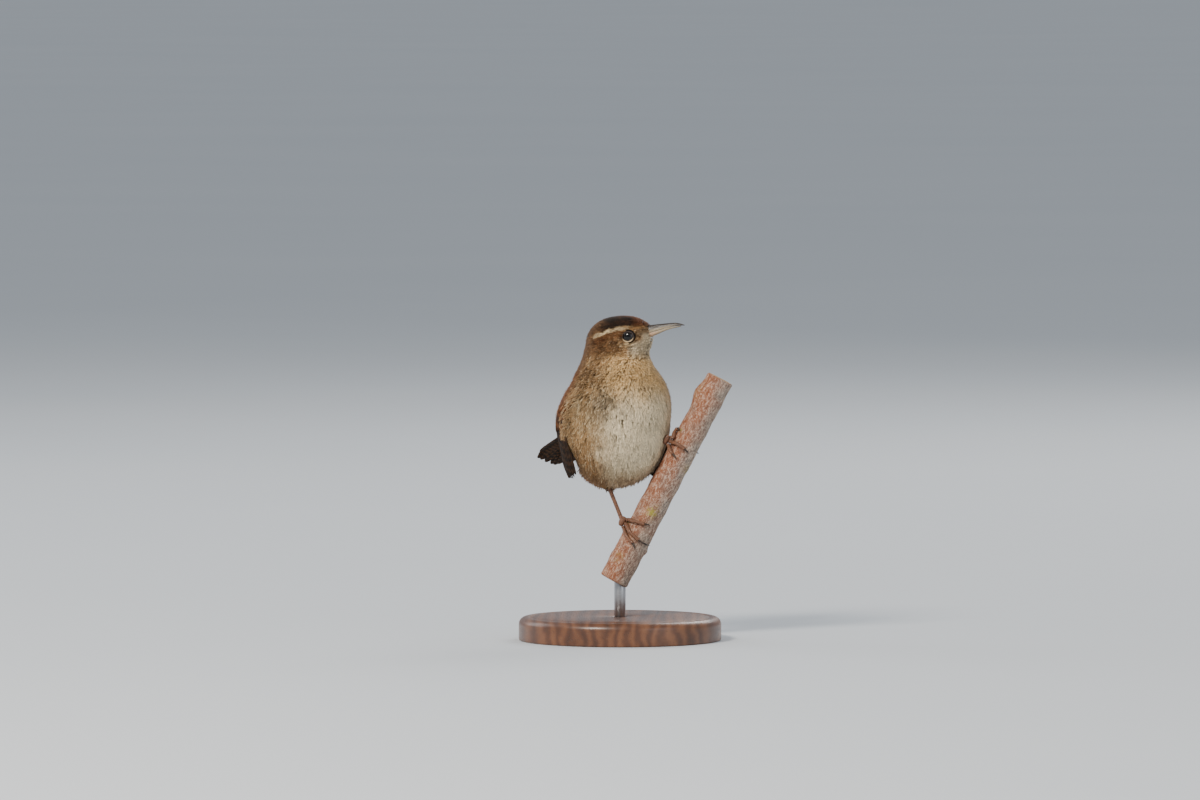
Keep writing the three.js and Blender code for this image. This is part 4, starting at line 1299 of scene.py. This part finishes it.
@dataclass(frozen=True)
class Wing:
    """A folded wing: primaries, secondaries, tertials and two rows of coverts that follow the flank."""

    name: str
    scatter: float = 0.3

    def slab(self, arc: Array, z: Array, top: Array, bottom: Array, *looks: Array) -> Draft:
        """A plate round the body between two lifts, with its colours and UV map."""
        return plate(*[PLAN.place(SIDES[self.name], arc, z, lift) for lift in (top, bottom)], *looks)

    def vane(self, row: VaneRow, root: Array, tip: Array, seed: int) -> Draft:
        """One vane in arc and height: across it, the front edge is raised over the vane before it."""
        scale = np.array([math.radians(PLAN.wrap), 1.0])
        start, end = root * scale, tip * scale
        share, edge = vane_grid(STEPS, 1.25)
        way = unit(end - start)
        across = np.array([-way[1], way[0]]) * -np.sign(way[1])
        width = row.half * vane_width(share, edge, 40 * share + seed)
        sweep = 0.5 * np.sin(np.pi * share)
        place = start + share[..., None] * (end - start) + (edge * width + sweep)[..., None] * across
        tilt = row.high + (row.low - row.high) * (edge + 1) / 2
        camber = 0.16 * (1 - edge**2) + 0.1 * bell((edge - row.shaft) / 0.1) * (1 - share)
        lift = tilt + camber - 0.3 * (1 - smooth(share, 0.0, 0.35))
        colours = vane_colours(share, edge, row.bars, tone(*row.dark), tone(*row.light), seed)
        uv = np.stack([edge * 0.5 + 0.5, share * 4.0], axis=-1)
        return self.slab(place[..., 0], place[..., 1], lift + THICKNESS, lift, colours, uv)

    def sheet(self) -> Draft:
        """The thin arm under the vanes: the wing's own outline between its edges."""
        heights = np.linspace(PLAN.heights[0], PLAN.heights[-1], 24)[:, None]
        front, back = PLAN.edges(heights)
        share = np.linspace(0, 1, 16)
        turn = front + (back - front) * share
        z = heights + 0 * turn
        uv = np.stack([share + 0 * turn, z / 10], axis=-1)
        colours = np.ones((*turn.shape, 3)) * tone(30, 21, 16)
        return self.slab(np.radians(turn) * PLAN.wrap, z, 0.15 + 0 * z, -0.25 + 0 * z, colours, uv)

    def build(self) -> None:
        """Makes every row and joins them with a thin sheet under them."""
        random = np.random.default_rng(SEED + SIDES[self.name])
        vanes = [self.sheet()]
        for r, row in enumerate(ROWS):
            roots, tips = np.array(row.roots, float), np.array(row.tips, float)
            for i in range(row.count):
                share = i / (row.count - 1)
                root = roots[0] * (1 - share) + roots[1] * share
                tip = tips[0] * (1 - share) + tips[1] * share
                tip = tip - np.array([0.0, row.dip * math.sin(math.pi * share)])
                tip = tip + self.scatter * random.standard_normal(2)
                vanes.append(self.vane(row, root, tip, 10 * r + i))
        made = Draft.joined(vanes)
        made.piece(f"feathered_wing_{self.name}", "flight_feathers", Finish.VANE, f"wing_{self.name}")


@dataclass(frozen=True)
class TailVane:
    """One tail feather: its start and end behind the rump, its place aside, turn, level and half width."""

    start: float
    end: float
    aside: float
    turn: float
    level: float
    half: float
    bars: float
    light: tuple[int, int, int]
    covert: bool = True


@dataclass(frozen=True)
class Tail:
    """Twelve tail feathers in pairs, the middle pair on top, between coverts over and under their roots."""

    long: float = 38.5
    half: float = 1.75
    spread: float = 0.46
    fan: float = 1.6
    layer: float = 0.2
    shorter: float = 0.42
    pairs: int = 6
    covert_rows: int = 4
    covert_columns: int = 5
    axes: Axes = Axes.facing(TORSO.at(-24.0, -0.4, 80.4), 22.0, 25.0).rolled(-14.0)

    def feathers(self, random: np.random.Generator) -> list[TailVane]:
        """Tail feathers, each pair lower, shorter and more turned out, then coverts over and under them."""
        made = []
        for pair in range(self.pairs):
            for side in (1, -1):
                end = self.long - self.shorter * pair**2 + 0.8 * random.standard_normal()
                turn = side * self.fan * (pair + 0.5) + 0.7 * random.standard_normal()
                level = 1.0 - self.layer * (2 * pair + (1 if side > 0 else 0))
                aside = side * self.spread * (pair + 0.5)
                made.append(TailVane(3.0, end, aside, turn, level, self.half, 11.0, (96, 66, 41),
                                     covert=False))
        for row, column in np.ndindex(self.covert_rows, self.covert_columns):
            place = column - 2
            aside = place * 1.25 + (0.4 if row % 2 else -0.2)
            end = 16.5 - 3.0 * row - 0.6 * abs(place) + 0.6 * random.standard_normal()
            turn = aside * 2.0 + 2.0 * random.standard_normal()
            made.append(TailVane(-3.5 - row, end, aside, turn, 1.4 + 0.35 * row, 1.15, 2.0, (104, 66, 37)))
            made.append(TailVane(-3.0, end - 1.0, aside, turn, -2.3 - 0.3 * row, 1.1, 1.0, (128, 98, 64)))
        return made

    def vane(self, feather: TailVane, seed: int) -> Draft:
        """One feather as a thin arched plate with a raised shaft."""
        share, edge = vane_grid(STEPS + 6, 1.2)
        turn, light = math.radians(feather.turn), tone(*feather.light)
        back = feather.start + (feather.end - feather.start) * share
        width = feather.half * vane_width(share, edge, 45 * share + seed)
        aside = feather.aside + edge * width + back * math.sin(turn)
        height = feather.level + 0.25 * (1 - edge**2) + 0.1 * bell(edge / 0.1) * (1 - share)
        height = height - 0.9 * (1 - smooth(share, 0.0, 0.4)) * np.sign(feather.level)
        away = back * math.cos(turn) - 0.5 * np.abs(edge) * share
        colours = vane_colours(share, -0.8 * np.abs(edge) + 0.2, feather.bars, tone(18, 13, 10), light, seed)
        if feather.covert:
            colours = mix(colours, light, 0.85 - 0.25 * bell(edge / 0.3))
        uv = np.stack([edge * 0.5 + 0.5, share * 6.0], axis=-1)
        sides = [self.axes.at(-away, aside, height + lift) for lift in (THICKNESS, 0.0)]
        return plate(*sides, colours, uv)

    def stub(self) -> Draft:
        """The coverts' core at the tail's root: ovals that flatten backwards."""
        back = np.array([-2.5, 0.0, 3.0, 7.5, 12.0])[:, None]
        wide = np.array([3.5, 3.6, 3.7, 3.6, 3.0])[:, None]
        deep = np.array([3.3, 3.2, 2.7, 1.9, 1.0])[:, None]
        turn = circle(28)
        rings = self.axes.at(-back, wide * np.cos(turn), deep * np.sin(turn))
        uv = np.stack(np.broadcast_arrays(turn / 6, back / 10), axis=-1)
        return loft(rings, colours=np.ones(rings.shape) * tone(84, 54, 32), uvs={"vane": uv})

    def build(self) -> None:
        """Joins the feathers with their root."""
        feathers = self.feathers(np.random.default_rng(SEED + 7))
        made = Draft.joined([self.stub(), *[self.vane(feather, i) for i, feather in enumerate(feathers)]])
        made.piece("feathered_tail", "flight_feathers", Finish.VANE, "tail")


# Head pieces


@dataclass(frozen=True)
class Bill:
    """The bill: heights of its culmen, mouth and lower edge at stations along the head."""

    stations: tuple = (9.9, 11.4, 13.2, 15.4, 17.8, 20.2, 22.0, 23.4)
    culmen: tuple = (3.72, 3.72, 3.76, 3.76, 3.74, 3.6, 3.15, 2.55)
    mouth: tuple = (0.75, 1.0, 1.35, 1.75, 2.1, 2.32, 2.32, 2.2)
    lower: tuple = (-0.9, -0.45, 0.1, 0.85, 1.4, 1.72, 1.95, 1.95)
    half: tuple = (1.75, 1.55, 1.35, 1.15, 0.95, 0.75, 0.5, 0.22)
    seam: float = 0.06
    nostril: float = 0.28

    def profile(self, values: Sequence[float], where: Array) -> Array:
        """A smooth curve through the values at the stations."""
        fine = curve(np.stack([self.stations, values], axis=-1), 200)
        return np.interp(where, fine[:, 0], fine[:, 1])

    def mandible(self, edge: Sequence[float], seam: float, end: float) -> tuple[Array, Array, Array]:
        """Rings of one mandible: half an oval over a flat side, with the station and rise of each point."""
        where = np.linspace(self.stations[0] - 1.2, end, 60)[:, None]
        turn = np.linspace(0, np.pi, 25)
        rim, mouth = self.profile(edge, where), self.profile(self.mouth, where) + seam
        height = mouth + (rim - mouth) * np.sin(turn) ** 0.85
        points = HEAD.at(where, self.profile(self.half, where) * np.cos(turn), height)
        return points, where + 0 * turn, np.sin(turn) + 0 * where

    def build(self) -> None:
        """Upper mandible dark along the culmen and tip and pale at its side; lower one pale."""
        dark, pale, pink = tone(32, 26, 23), tone(176, 158, 128), tone(198, 160, 126)
        upper, where, over = self.mandible(self.culmen, self.seam, self.stations[-1])
        nostril = bell((where - 12.3) / 0.95, (over - 0.5) / 0.16)
        upper = upper - nostril[..., None] * self.nostril * unit(upper - upper.mean(axis=1, keepdims=True))
        shade = mix(dark, pale, 0.72 * smooth(over, 0.46, 0.16) * smooth(where, 21.5, 16.0))
        # Painted shade: the nostril's pit is painted near-black, for the shadow inside the opening.
        shade = mix(shade, tone(24, 18, 16), smooth(nostril, 0.35, 0.75))
        loft(upper, colours=shade).piece("upper_mandible", "bill_horn", Finish.HORN, "bill_upper")
        lower, where, over = self.mandible(self.lower, -self.seam, self.stations[-2])
        shade = mix(pink, pale, smooth(where, 10.0, 15.0))
        shade = mix(shade, dark, smooth(over, 0.5, 1.0) * 0.55 + smooth(where, 17.5, 22.0) * 0.45)
        loft(lower, colours=shade).piece("lower_mandible", "bill_pale", Finish.HORN, "bill_lower")


@dataclass(frozen=True)
class Eye:
    """An eyeball set in the cheek, with a pale rim of lids round its cap."""

    name: str
    radius: float = 2.7
    bulge: float = 0.8
    forward: float = 2.6
    up: float = 0.2
    opening: float = 2.12

    @property
    def out(self) -> Array:
        """Direction out of the cheek."""
        return HEAD.left * SIDES[self.name]

    @property
    def centre(self) -> Array:
        """Centre of the ball: its cap stands out of the cheek by the bulge."""
        inside = HEAD.at(self.forward, 0.0, self.up)
        reach = float(Build.reach(inside[None], self.out[None])[0])
        return inside + self.out * (reach - self.radius + self.bulge)

    def build(self) -> None:
        """The ball, black with a dark brown iris ring, and the lids."""
        tilt = np.linspace(0, np.pi, 41)[1:-1, None]
        turn = circle(64)
        rings = self.centre + self.radius * spun(self.out, spun(HEAD.forward, HEAD.up, turn), tilt)
        iris = smooth(np.degrees(tilt), 22.0, 30.0) + 0 * turn
        ball = loft(rings, colours=mix(tone(3, 3, 3), tone(20, 13, 8), iris))
        ball.piece(f"eyeball_{self.name}", "eye_glass", Finish.EYE, f"eye_{self.name}")
        self.lids().piece(f"eyelids_{self.name}", "plumage", Finish.LID)

    def lids(self) -> Draft:
        """A rim round the cap, flattened a little, thicker and paler below than above."""
        count, sides = 72, 12
        turn = circle(count)
        low = smooth(np.sin(turn), -0.1, -0.8)[:, None]
        distance = (self.opening - 0.22 * np.sin(turn) ** 2)[:, None]
        middle = self.centre + self.out * np.sqrt(self.radius**2 - distance**2)
        line = middle + 0.02 * self.out + distance * spun(1.04 * HEAD.forward, HEAD.up, turn)
        rim = spun(unit(line - middle)[:, None], self.out, circle(sides)[None])
        points = line[:, None] + (0.17 + 0.08 * low)[:, None] * rim
        shade = mix(tone(58, 42, 30), tone(196, 168, 128), low) + 0 * points
        faces = sheet_faces(count + 1, sides, closed=True) % (count * sides)
        return Draft(points.reshape(-1, 3), [faces], colours=shade.reshape(-1, 3)).outward()


# Perch and legs


@dataclass(frozen=True)
class Knot:
    """A swelling on the twig at a distance along it and a turn round it."""

    along: float
    turn: float
    height: float
    spread: float
    lichen: float = 0.0


@dataclass(frozen=True)
class Twig:
    """The slanted twig in round coordinates: along it, round it from its left over its front, and out."""

    lean: float = 27.8
    foot: tuple = (0.4, 0.0, 28.2)
    start: float = -6.0
    end: float = 82.0
    radius: float = 5.8
    taper: float = 0.006
    hole: float = 2.5
    rows: int = 330
    around: int = 144
    top: tuple = (0.93, 0.8, 0.62, 0.45, 0.25, 0.1)
    knots: tuple = (
        Knot(24.5, 95, 0.7, 2.2, 0.8), Knot(9.5, 170, 0.9, 1.6), Knot(45, 150, 0.6, 2.0, 0.3),
        Knot(70, -60, 0.8, 2.4), Knot(74, 5, 1.3, 4.5, 0.15), Knot(15.5, 8, 0.15, 1.3, 1.0),
        Knot(57.5, 38, 0.12, 0.8, 0.7), Knot(34, -120, 0.5, 2.2, 0.4), Knot(3, 60, 0.2, 1.6, 0.5),
    )

    @property
    def way(self) -> Array:
        """Direction along the twig."""
        lean = math.radians(self.lean)
        return np.array([math.sin(lean), 0, math.cos(lean)])

    def at(self, along: Array | float, turn: Array | float, height: Array | float) -> Array:
        """Points at a distance along, a turn in degrees and a height over the plain twig."""
        front = np.array([0.0, -1.0, 0.0])
        along = np.asarray(along, float)
        distance = np.asarray(self.radius - self.taper * along + height)[..., None]
        out = spun(np.cross(front, self.way), front, np.radians(turn))
        return np.array(self.foot) + along[..., None] * self.way + distance * out

    def build(self) -> None:
        """The bark: the knots, slow swells and drawn-out ridges, with the lower end bored for the rod."""
        along = np.linspace(self.start, self.end, self.rows)[:, None]
        turn = -np.linspace(0, 360, self.around, endpoint=False)[None]
        angle = np.radians(turn)
        plain = np.stack(np.broadcast_arrays(3 * np.cos(angle), 3 * np.sin(angle), 0.45 * along), axis=-1)
        swell = 0.1 * np.sin(along * 0.55 + 2 * angle) - 0.14
        swell = swell + 0.22 * (value_noise(plain, 0.8, 11) - 0.5) + 0.1 * (value_noise(plain, 0.3, 12) - 0.5)
        lichen = 0 * swell
        rough, patchy = value_noise(plain, 0.35, 13), smooth(value_noise(plain, 0.3, 14), 0.35, 0.6)
        for knot in self.knots:
            arc = self.radius * np.radians((turn - knot.turn + 540) % 360 - 180)
            bump = bell((along - knot.along) / knot.spread, arc / knot.spread)
            swell = swell + knot.height * bump * (0.85 + 0.3 * rough)
            lichen = lichen + knot.lichen * bump * patchy
        swell = swell - 0.35 * (1 - between(along, self.start, self.start + 0.5, self.end - 0.6, self.end))
        # Painted shade: high on the twig's lower right side, turned from the key light, and patchy from
        # noise.
        weather = smooth(np.cos(np.radians(turn - 175)), -0.35, 0.9) * 0.85
        weather = weather + 0.7 * (value_noise(plain, 1.4, 15) - 0.5)
        uv = np.stack(np.broadcast_arrays(-turn / 10, along), axis=-1)
        masks = {"weather": np.clip(weather, 0, 1), "lichen": np.clip(lichen, 0, 1)}
        self.closed(self.at(along, turn, swell), masks, uv).piece("twig", "bark", Finish.BARK, "perch")

    def closed(self, rings: Array, masks: dict[str, Array], uv: Array) -> Draft:
        """Adds the cut ends: a face with year rings at the top, and a bore for the rod at the bottom."""
        foot, head = rings[0].mean(axis=0), rings[-1].mean(axis=0)
        shrink = np.array(self.top)
        top = head + (rings[-1] - head) * shrink[:, None, None]
        low = np.concatenate([self.bore(rings[0]), [foot + (rings[0] - foot) * 0.96]])
        pad = ((len(low), len(top)), (0, 0))
        inward = np.concatenate([np.full(len(low), 0.5), np.zeros(len(rings)), 1.0 - shrink])
        return loft(
            np.concatenate([low, rings, top]),
            uvs={"bark": np.pad(uv, (*pad, (0, 0)), mode="edge")},
            masks={
                # The cut ends take a middling share of the painted shade.
                "weather": np.pad(masks["weather"], pad, constant_values=0.55),
                "lichen": np.pad(masks["lichen"], pad),
                "cut": np.repeat(inward[:, None], self.around, axis=1),
            },
        )

    def bore(self, rim: Array) -> Array:
        """Rings of the upright bore: from its blind end down to where it meets the cut face."""
        centre = rim.mean(axis=0)
        angle = np.arctan2(*(rim - centre)[:, 1::-1].T)
        wall = np.stack([np.cos(angle), np.sin(angle), 0 * angle], axis=-1) * self.hole
        mouth = centre[2] - ((wall - centre) @ (self.way * np.array([1, 1, 0]))) / self.way[2]
        blind = Stand.rod_top + 0.3
        return np.array([wall * 0.5 + UP * blind, wall + UP * blind, wall + UP * (blind - 2.3),
                         wall + UP * mouth[:, None]])


TWIG = Twig()


@dataclass(frozen=True)
class Foot:
    """Routes of the toes and claws over the twig, as distance along and turn."""

    hub: tuple[float, float, float]
    toes: dict[str, tuple]
    claws: dict[str, tuple]


FEET = {
    "right": Foot((15.9, 12, 2.2), {
        "inner": ((17.6, 24), (18.3, 55), (19.1, 88)), "middle": ((15.5, 28), (13.8, 58), (12.7, 95)),
        "outer": ((13.6, 26), (11.8, 54), (10.6, 82)), "hind": ((16.2, -14), (16.8, -55), (17.2, -100)),
    }, {
        "inner": ((19.3, 92), (19.6, 102), (19.7, 112)), "middle": ((12.6, 100), (12.4, 128), (12.5, 162)),
        "outer": ((10.3, 88), (9.6, 96), (8.6, 104)), "hind": ((17.2, -105), (17.3, -125), (17.3, -148)),
    }),
    "left": Foot((51.6, 14, 2.2), {
        "inner": ((49.8, 30), (48.8, 46), (48.0, 62)), "middle": ((51.8, 34), (52.3, 62), (51.9, 88)),
        "outer": ((53.8, 26), (55.6, 16), (57.2, 22)), "hind": ((51.6, -6), (51.9, -60), (52.2, -118)),
    }, {
        "inner": ((47.9, 67), (47.4, 76), (46.8, 84)), "middle": ((51.8, 93), (51.5, 103), (51.2, 113)),
        "outer": ((57.6, 29), (57.6, 36), (57.2, 43)), "hind": ((52.3, -123), (52.4, -148), (52.5, -174)),
    }),
}


@dataclass(frozen=True)
class Leg:
    """A bare leg: the scaled shank, four toes with pads and joints, and their claws."""

    name: str
    shank: float = 0.84
    toe: float = 0.79
    toe_height: float = 0.88
    claw: float = 0.46
    claw_heights: tuple = (0.75, 1.1, 0.62)

    @staticmethod
    def scaled(line: Array, radii: Array, sides: int, plates: int) -> Draft:
        """A limb with overlapping plates that swell its front and step in at their ends, darker between."""

        def swelling(share: Array, turn: Array) -> Array:
            """Radius against the plain one."""
            return 1.0 + 0.07 * ((share * plates) % 1.0 - 0.5) * (0.6 + 0.4 * np.cos(turn))

        rings = tube(line, radii, sides, swelling)
        dark = smooth((np.linspace(0, 1, len(line)) * plates) % 1.0, 0.85, 1.0)[:, None] + 0 * rings[..., 0]
        return loft(rings, colours=mix(tone(134, 88, 60), tone(76, 46, 30), dark * 0.8))

    def build(self) -> None:
        """Makes the shank with its foot, the toes and the claws, each in place of its node."""
        foot, thigh = FEET[self.name], np.array(THIGHS[self.name].line)
        along, turn, height = foot.hub
        hub = TWIG.at(*foot.hub)
        ankle = thigh[-1] - 0.8 * unit(thigh[-1] - thigh[-2])
        share = np.linspace(0, 1, 60)
        radii = self.shank * (1 - 0.1 * np.sin(np.pi * share) + 0.16 * smooth(share, 0.86, 1.0))
        offsets = np.linspace(-1.95, 1.95, 24)
        ball = TWIG.at(along + offsets, turn + 0 * offsets, height + 0.1 * np.cos(offsets))
        ball_radii = 1.18 * np.sqrt(np.clip(1.02 - (offsets / 2.1) ** 2, 0.05, 1)) + 0.08
        line = curve([ankle, (ankle + hub) / 2, hub], 60)
        made = Draft.joined([self.scaled(line, radii, 18, 11), self.scaled(ball, ball_radii, 18, 4)])
        made.piece(f"shank_{self.name}", "leg_scales", Finish.SCALE, f"tarsus_{self.name}")
        for digit, route in foot.toes.items():
            made = self.toe_draft(np.array(route, float), np.array(foot.hub[:2]))
            made.piece(f"digit_{digit}_{self.name}", "leg_scales", Finish.SCALE, f"toe_{digit}_{self.name}")
        for digit, route in foot.claws.items():
            made = self.claw_draft(np.array(route, float))
            made.piece(f"nail_{digit}_{self.name}", "claw_horn", Finish.HORN, f"claw_{digit}_{self.name}")

    def toe_draft(self, route: Array, hub: Array) -> Draft:
        """A toe on its route: radii swell at the joints' pads."""
        knots = TWIG.at(route[:, 0], route[:, 1], self.toe_height)
        first = TWIG.at(*(hub * 0.35 + route[0] * 0.65), 1.5)
        line = curve([first, *knots, knots[-1] + 0.35 * unit(knots[-1] - knots[-2])], 54)
        share = np.linspace(0, 1, 54)
        radii = self.toe * (1 - 0.16 * share + 0.09 * np.cos(share * 5 * np.pi))
        radii = radii * np.sqrt(np.clip(1.0 - ((share - 0.93) / 0.08).clip(0) ** 2, 0.2, 1))
        return self.scaled(line, radii, 14, 13)

    def claw_draft(self, route: Array) -> Draft:
        """A claw on its route: a thin hook that thins to a point."""
        knots = TWIG.at(route[:, 0], route[:, 1], np.array(self.claw_heights))
        line = curve([knots[0] - 0.7 * unit(knots[1] - knots[0]), *knots], 36)
        share = np.linspace(0, 1, 36)
        rings = tube(line, self.claw * (1 - share) ** 0.7 + 0.05, 12)
        shade = mix(tone(88, 62, 44), tone(34, 24, 20), smooth(share, 0.1, 0.6))[:, None] + 0 * rings
        return loft(rings, colours=shade)


# Stand and studio


@dataclass(frozen=True)
class Stand:
    """A turned disc and an upright steel rod."""

    radius: float = 39.0
    height: float = 9.0
    foot_round: float = 0.7
    top_round: float = 2.8
    rod: float = 2.2
    rod_foot: float = 5.0
    rod_top: float = 31.0
    rod_edge: float = 0.3
    bead: tuple = ((35.2, 9.0), (34.9, 8.82), (34.5, 8.75), (34.1, 8.82), (33.8, 9.0))

    @staticmethod
    def lathe(profile: Sequence, sides: int) -> Draft:
        """A profile of radius and height turned about the upright axis, from the bottom middle to the top."""
        reach, z = np.array(profile)[:, :1], np.array(profile)[:, 1:]
        turn = circle(sides)
        rings = np.stack(np.broadcast_arrays(reach * np.cos(turn), reach * np.sin(turn), z), axis=-1)
        return loft(rings, colours=0 * rings + 0.5)

    def build(self) -> None:
        """The disc with a rounded edge and a bead line, bored in the middle, and the rod."""
        corner = np.linspace(0, np.pi / 2, 10)
        rise, fall = np.sin(corner), np.cos(corner)
        foot = np.stack([self.radius - self.foot_round * (1 - rise), self.foot_round * (1 - fall)], axis=-1)
        level = self.height - self.top_round * (1 - rise)
        top = np.stack([self.radius - self.top_round * (1 - fall), level], axis=-1)
        hole = self.rod + 0.25
        inner = [[20.0, 9.0], [hole + 0.5, 9.0], [hole, 8.6], [hole, self.rod_foot - 0.3]]
        disc = self.lathe([[30.0, 0.0], *foot, *top, *self.bead, *inner], 160)
        disc.piece("turned_base", "stand_wood", Finish.WOOD, "stand_base")
        slim = self.rod - self.rod_edge
        low, high = self.rod_foot + self.rod_edge, self.rod_top - self.rod_edge
        side = [[self.rod, level] for level in (low, 18.0, high)]
        profile = [[slim, self.rod_foot], *side, [slim, self.rod_top]]
        self.lathe(profile, 48).piece("rod", "stand_metal", Finish.STEEL, "stand_rod")


@dataclass(frozen=True)
class Lamp:
    """A soft square light that looks at the bird: where it stands, its side and its power."""

    name: str
    place: tuple[float, float, float]
    side: float
    power: float
    colour: tuple[float, float, float]


@dataclass(frozen=True)
class Studio:
    """Floor, soft lights, a sky that pales upwards, and the camera of the photograph."""

    target: tuple = (-7.7, 0.0, 92.5)
    elevation: float = 3.0
    distance: float = 4.0
    frame_width: float = 0.4615
    half_floor: float = 60.0
    sky_strength: float = 0.55
    sky: tuple = ((0.0, (0.50, 0.545, 0.60)), (0.3, (0.84, 0.90, 0.97)))
    lamps: tuple = (
        Lamp("key", (-0.85, -1.25, 1.2), 0.4, 34.0, (1.0, 0.94, 0.85)),
        Lamp("fill", (1.3, -1.2, 0.6), 1.2, 6.0, (0.9, 0.95, 1.0)),
        Lamp("back", (0.7, 1.3, 1.2), 0.9, 14.0, (1.0, 0.98, 0.95)),
        Lamp("left", (-1.3, 0.7, 0.7), 0.9, 7.0, (0.95, 0.97, 1.0)),
    )

    @staticmethod
    def linked(name: str, data: bpy.types.ID) -> bpy.types.Object:
        """A new object in the scene."""
        made = bpy.data.objects.new(name, data)
        bpy.context.scene.collection.objects.link(made)
        return made

    def build(self) -> None:
        """Makes all of it."""
        self.camera()
        self.floor()
        for lamp in self.lamps:
            self.light(lamp)
        self.world()

    def camera(self) -> None:
        """A long lens, aimed at the middle of the photo's frame."""
        data = bpy.data.cameras.new("camera")
        data.sensor_width = 36.0
        data.lens = data.sensor_width * self.distance / self.frame_width
        data.clip_end = 100.0
        made = self.linked("camera", data)
        tilt = math.radians(self.elevation)
        back = np.array([0.0, -math.cos(tilt), math.sin(tilt)])
        made.location = tuple(np.array(self.target) * MM + back * self.distance)
        made.rotation_euler = (math.radians(90.0 - self.elevation), 0.0, 0.0)
        bpy.context.scene.camera = made

    def floor(self) -> None:
        """A wide flat floor under the stand."""
        mesh = bpy.data.meshes.new("floor")
        signs = ((-1, -1), (1, -1), (1, 1), (-1, 1))
        corners = [(x * self.half_floor, y * self.half_floor, 0) for x, y in signs]
        mesh.from_pydata(corners, [], [(0, 1, 2, 3)])
        mesh.materials.append(Finish.FLOOR.material)
        self.linked("floor", mesh)

    def light(self, lamp: Lamp) -> None:
        """One area light, turned to the bird."""
        data = bpy.data.lights.new(lamp.name, "AREA")
        data.shape, data.size, data.energy, data.color = "SQUARE", lamp.side, lamp.power, lamp.colour
        made = self.linked(lamp.name, data)
        made.location = lamp.place
        way = unit(np.array(lamp.place) - np.array(self.target) * MM)
        made.rotation_euler = (0.0, math.acos(way[2]), math.atan2(way[1], way[0]))

    def world(self) -> None:
        """Even light from all round, darker at the horizon so that the floor runs into it."""
        world = bpy.data.worlds.new("studio")
        world.use_nodes = True
        tree = world.node_tree
        background = tree.nodes["Background"]
        background.inputs["Strength"].default_value = self.sky_strength
        direction = tree.nodes.new("ShaderNodeTexCoord")
        parts = tree.nodes.new("ShaderNodeSeparateXYZ")
        ramp = tree.nodes.new("ShaderNodeValToRGB")
        for element, (place, colour) in zip(ramp.color_ramp.elements, self.sky):
            element.position, element.color = place, (*colour, 1.0)
        tree.links.new(direction.outputs["Generated"], parts.inputs[0])
        tree.links.new(parts.outputs["Z"], ramp.inputs[0])
        tree.links.new(ramp.outputs[0], background.inputs["Color"])
        bpy.context.scene.world = world


def main() -> None:
    """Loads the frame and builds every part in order."""
    logging.basicConfig(level=logging.INFO, format="%(message)s")
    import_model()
    for part in (Studio(), Stand(), TWIG, Coat(Surface()), Tail(), Bill()):
        part.build()
    for name in SIDES:
        for part in (Wing(name), Eye(name), Leg(name)):
            part.build()


if __name__ == "__main__":
    main()
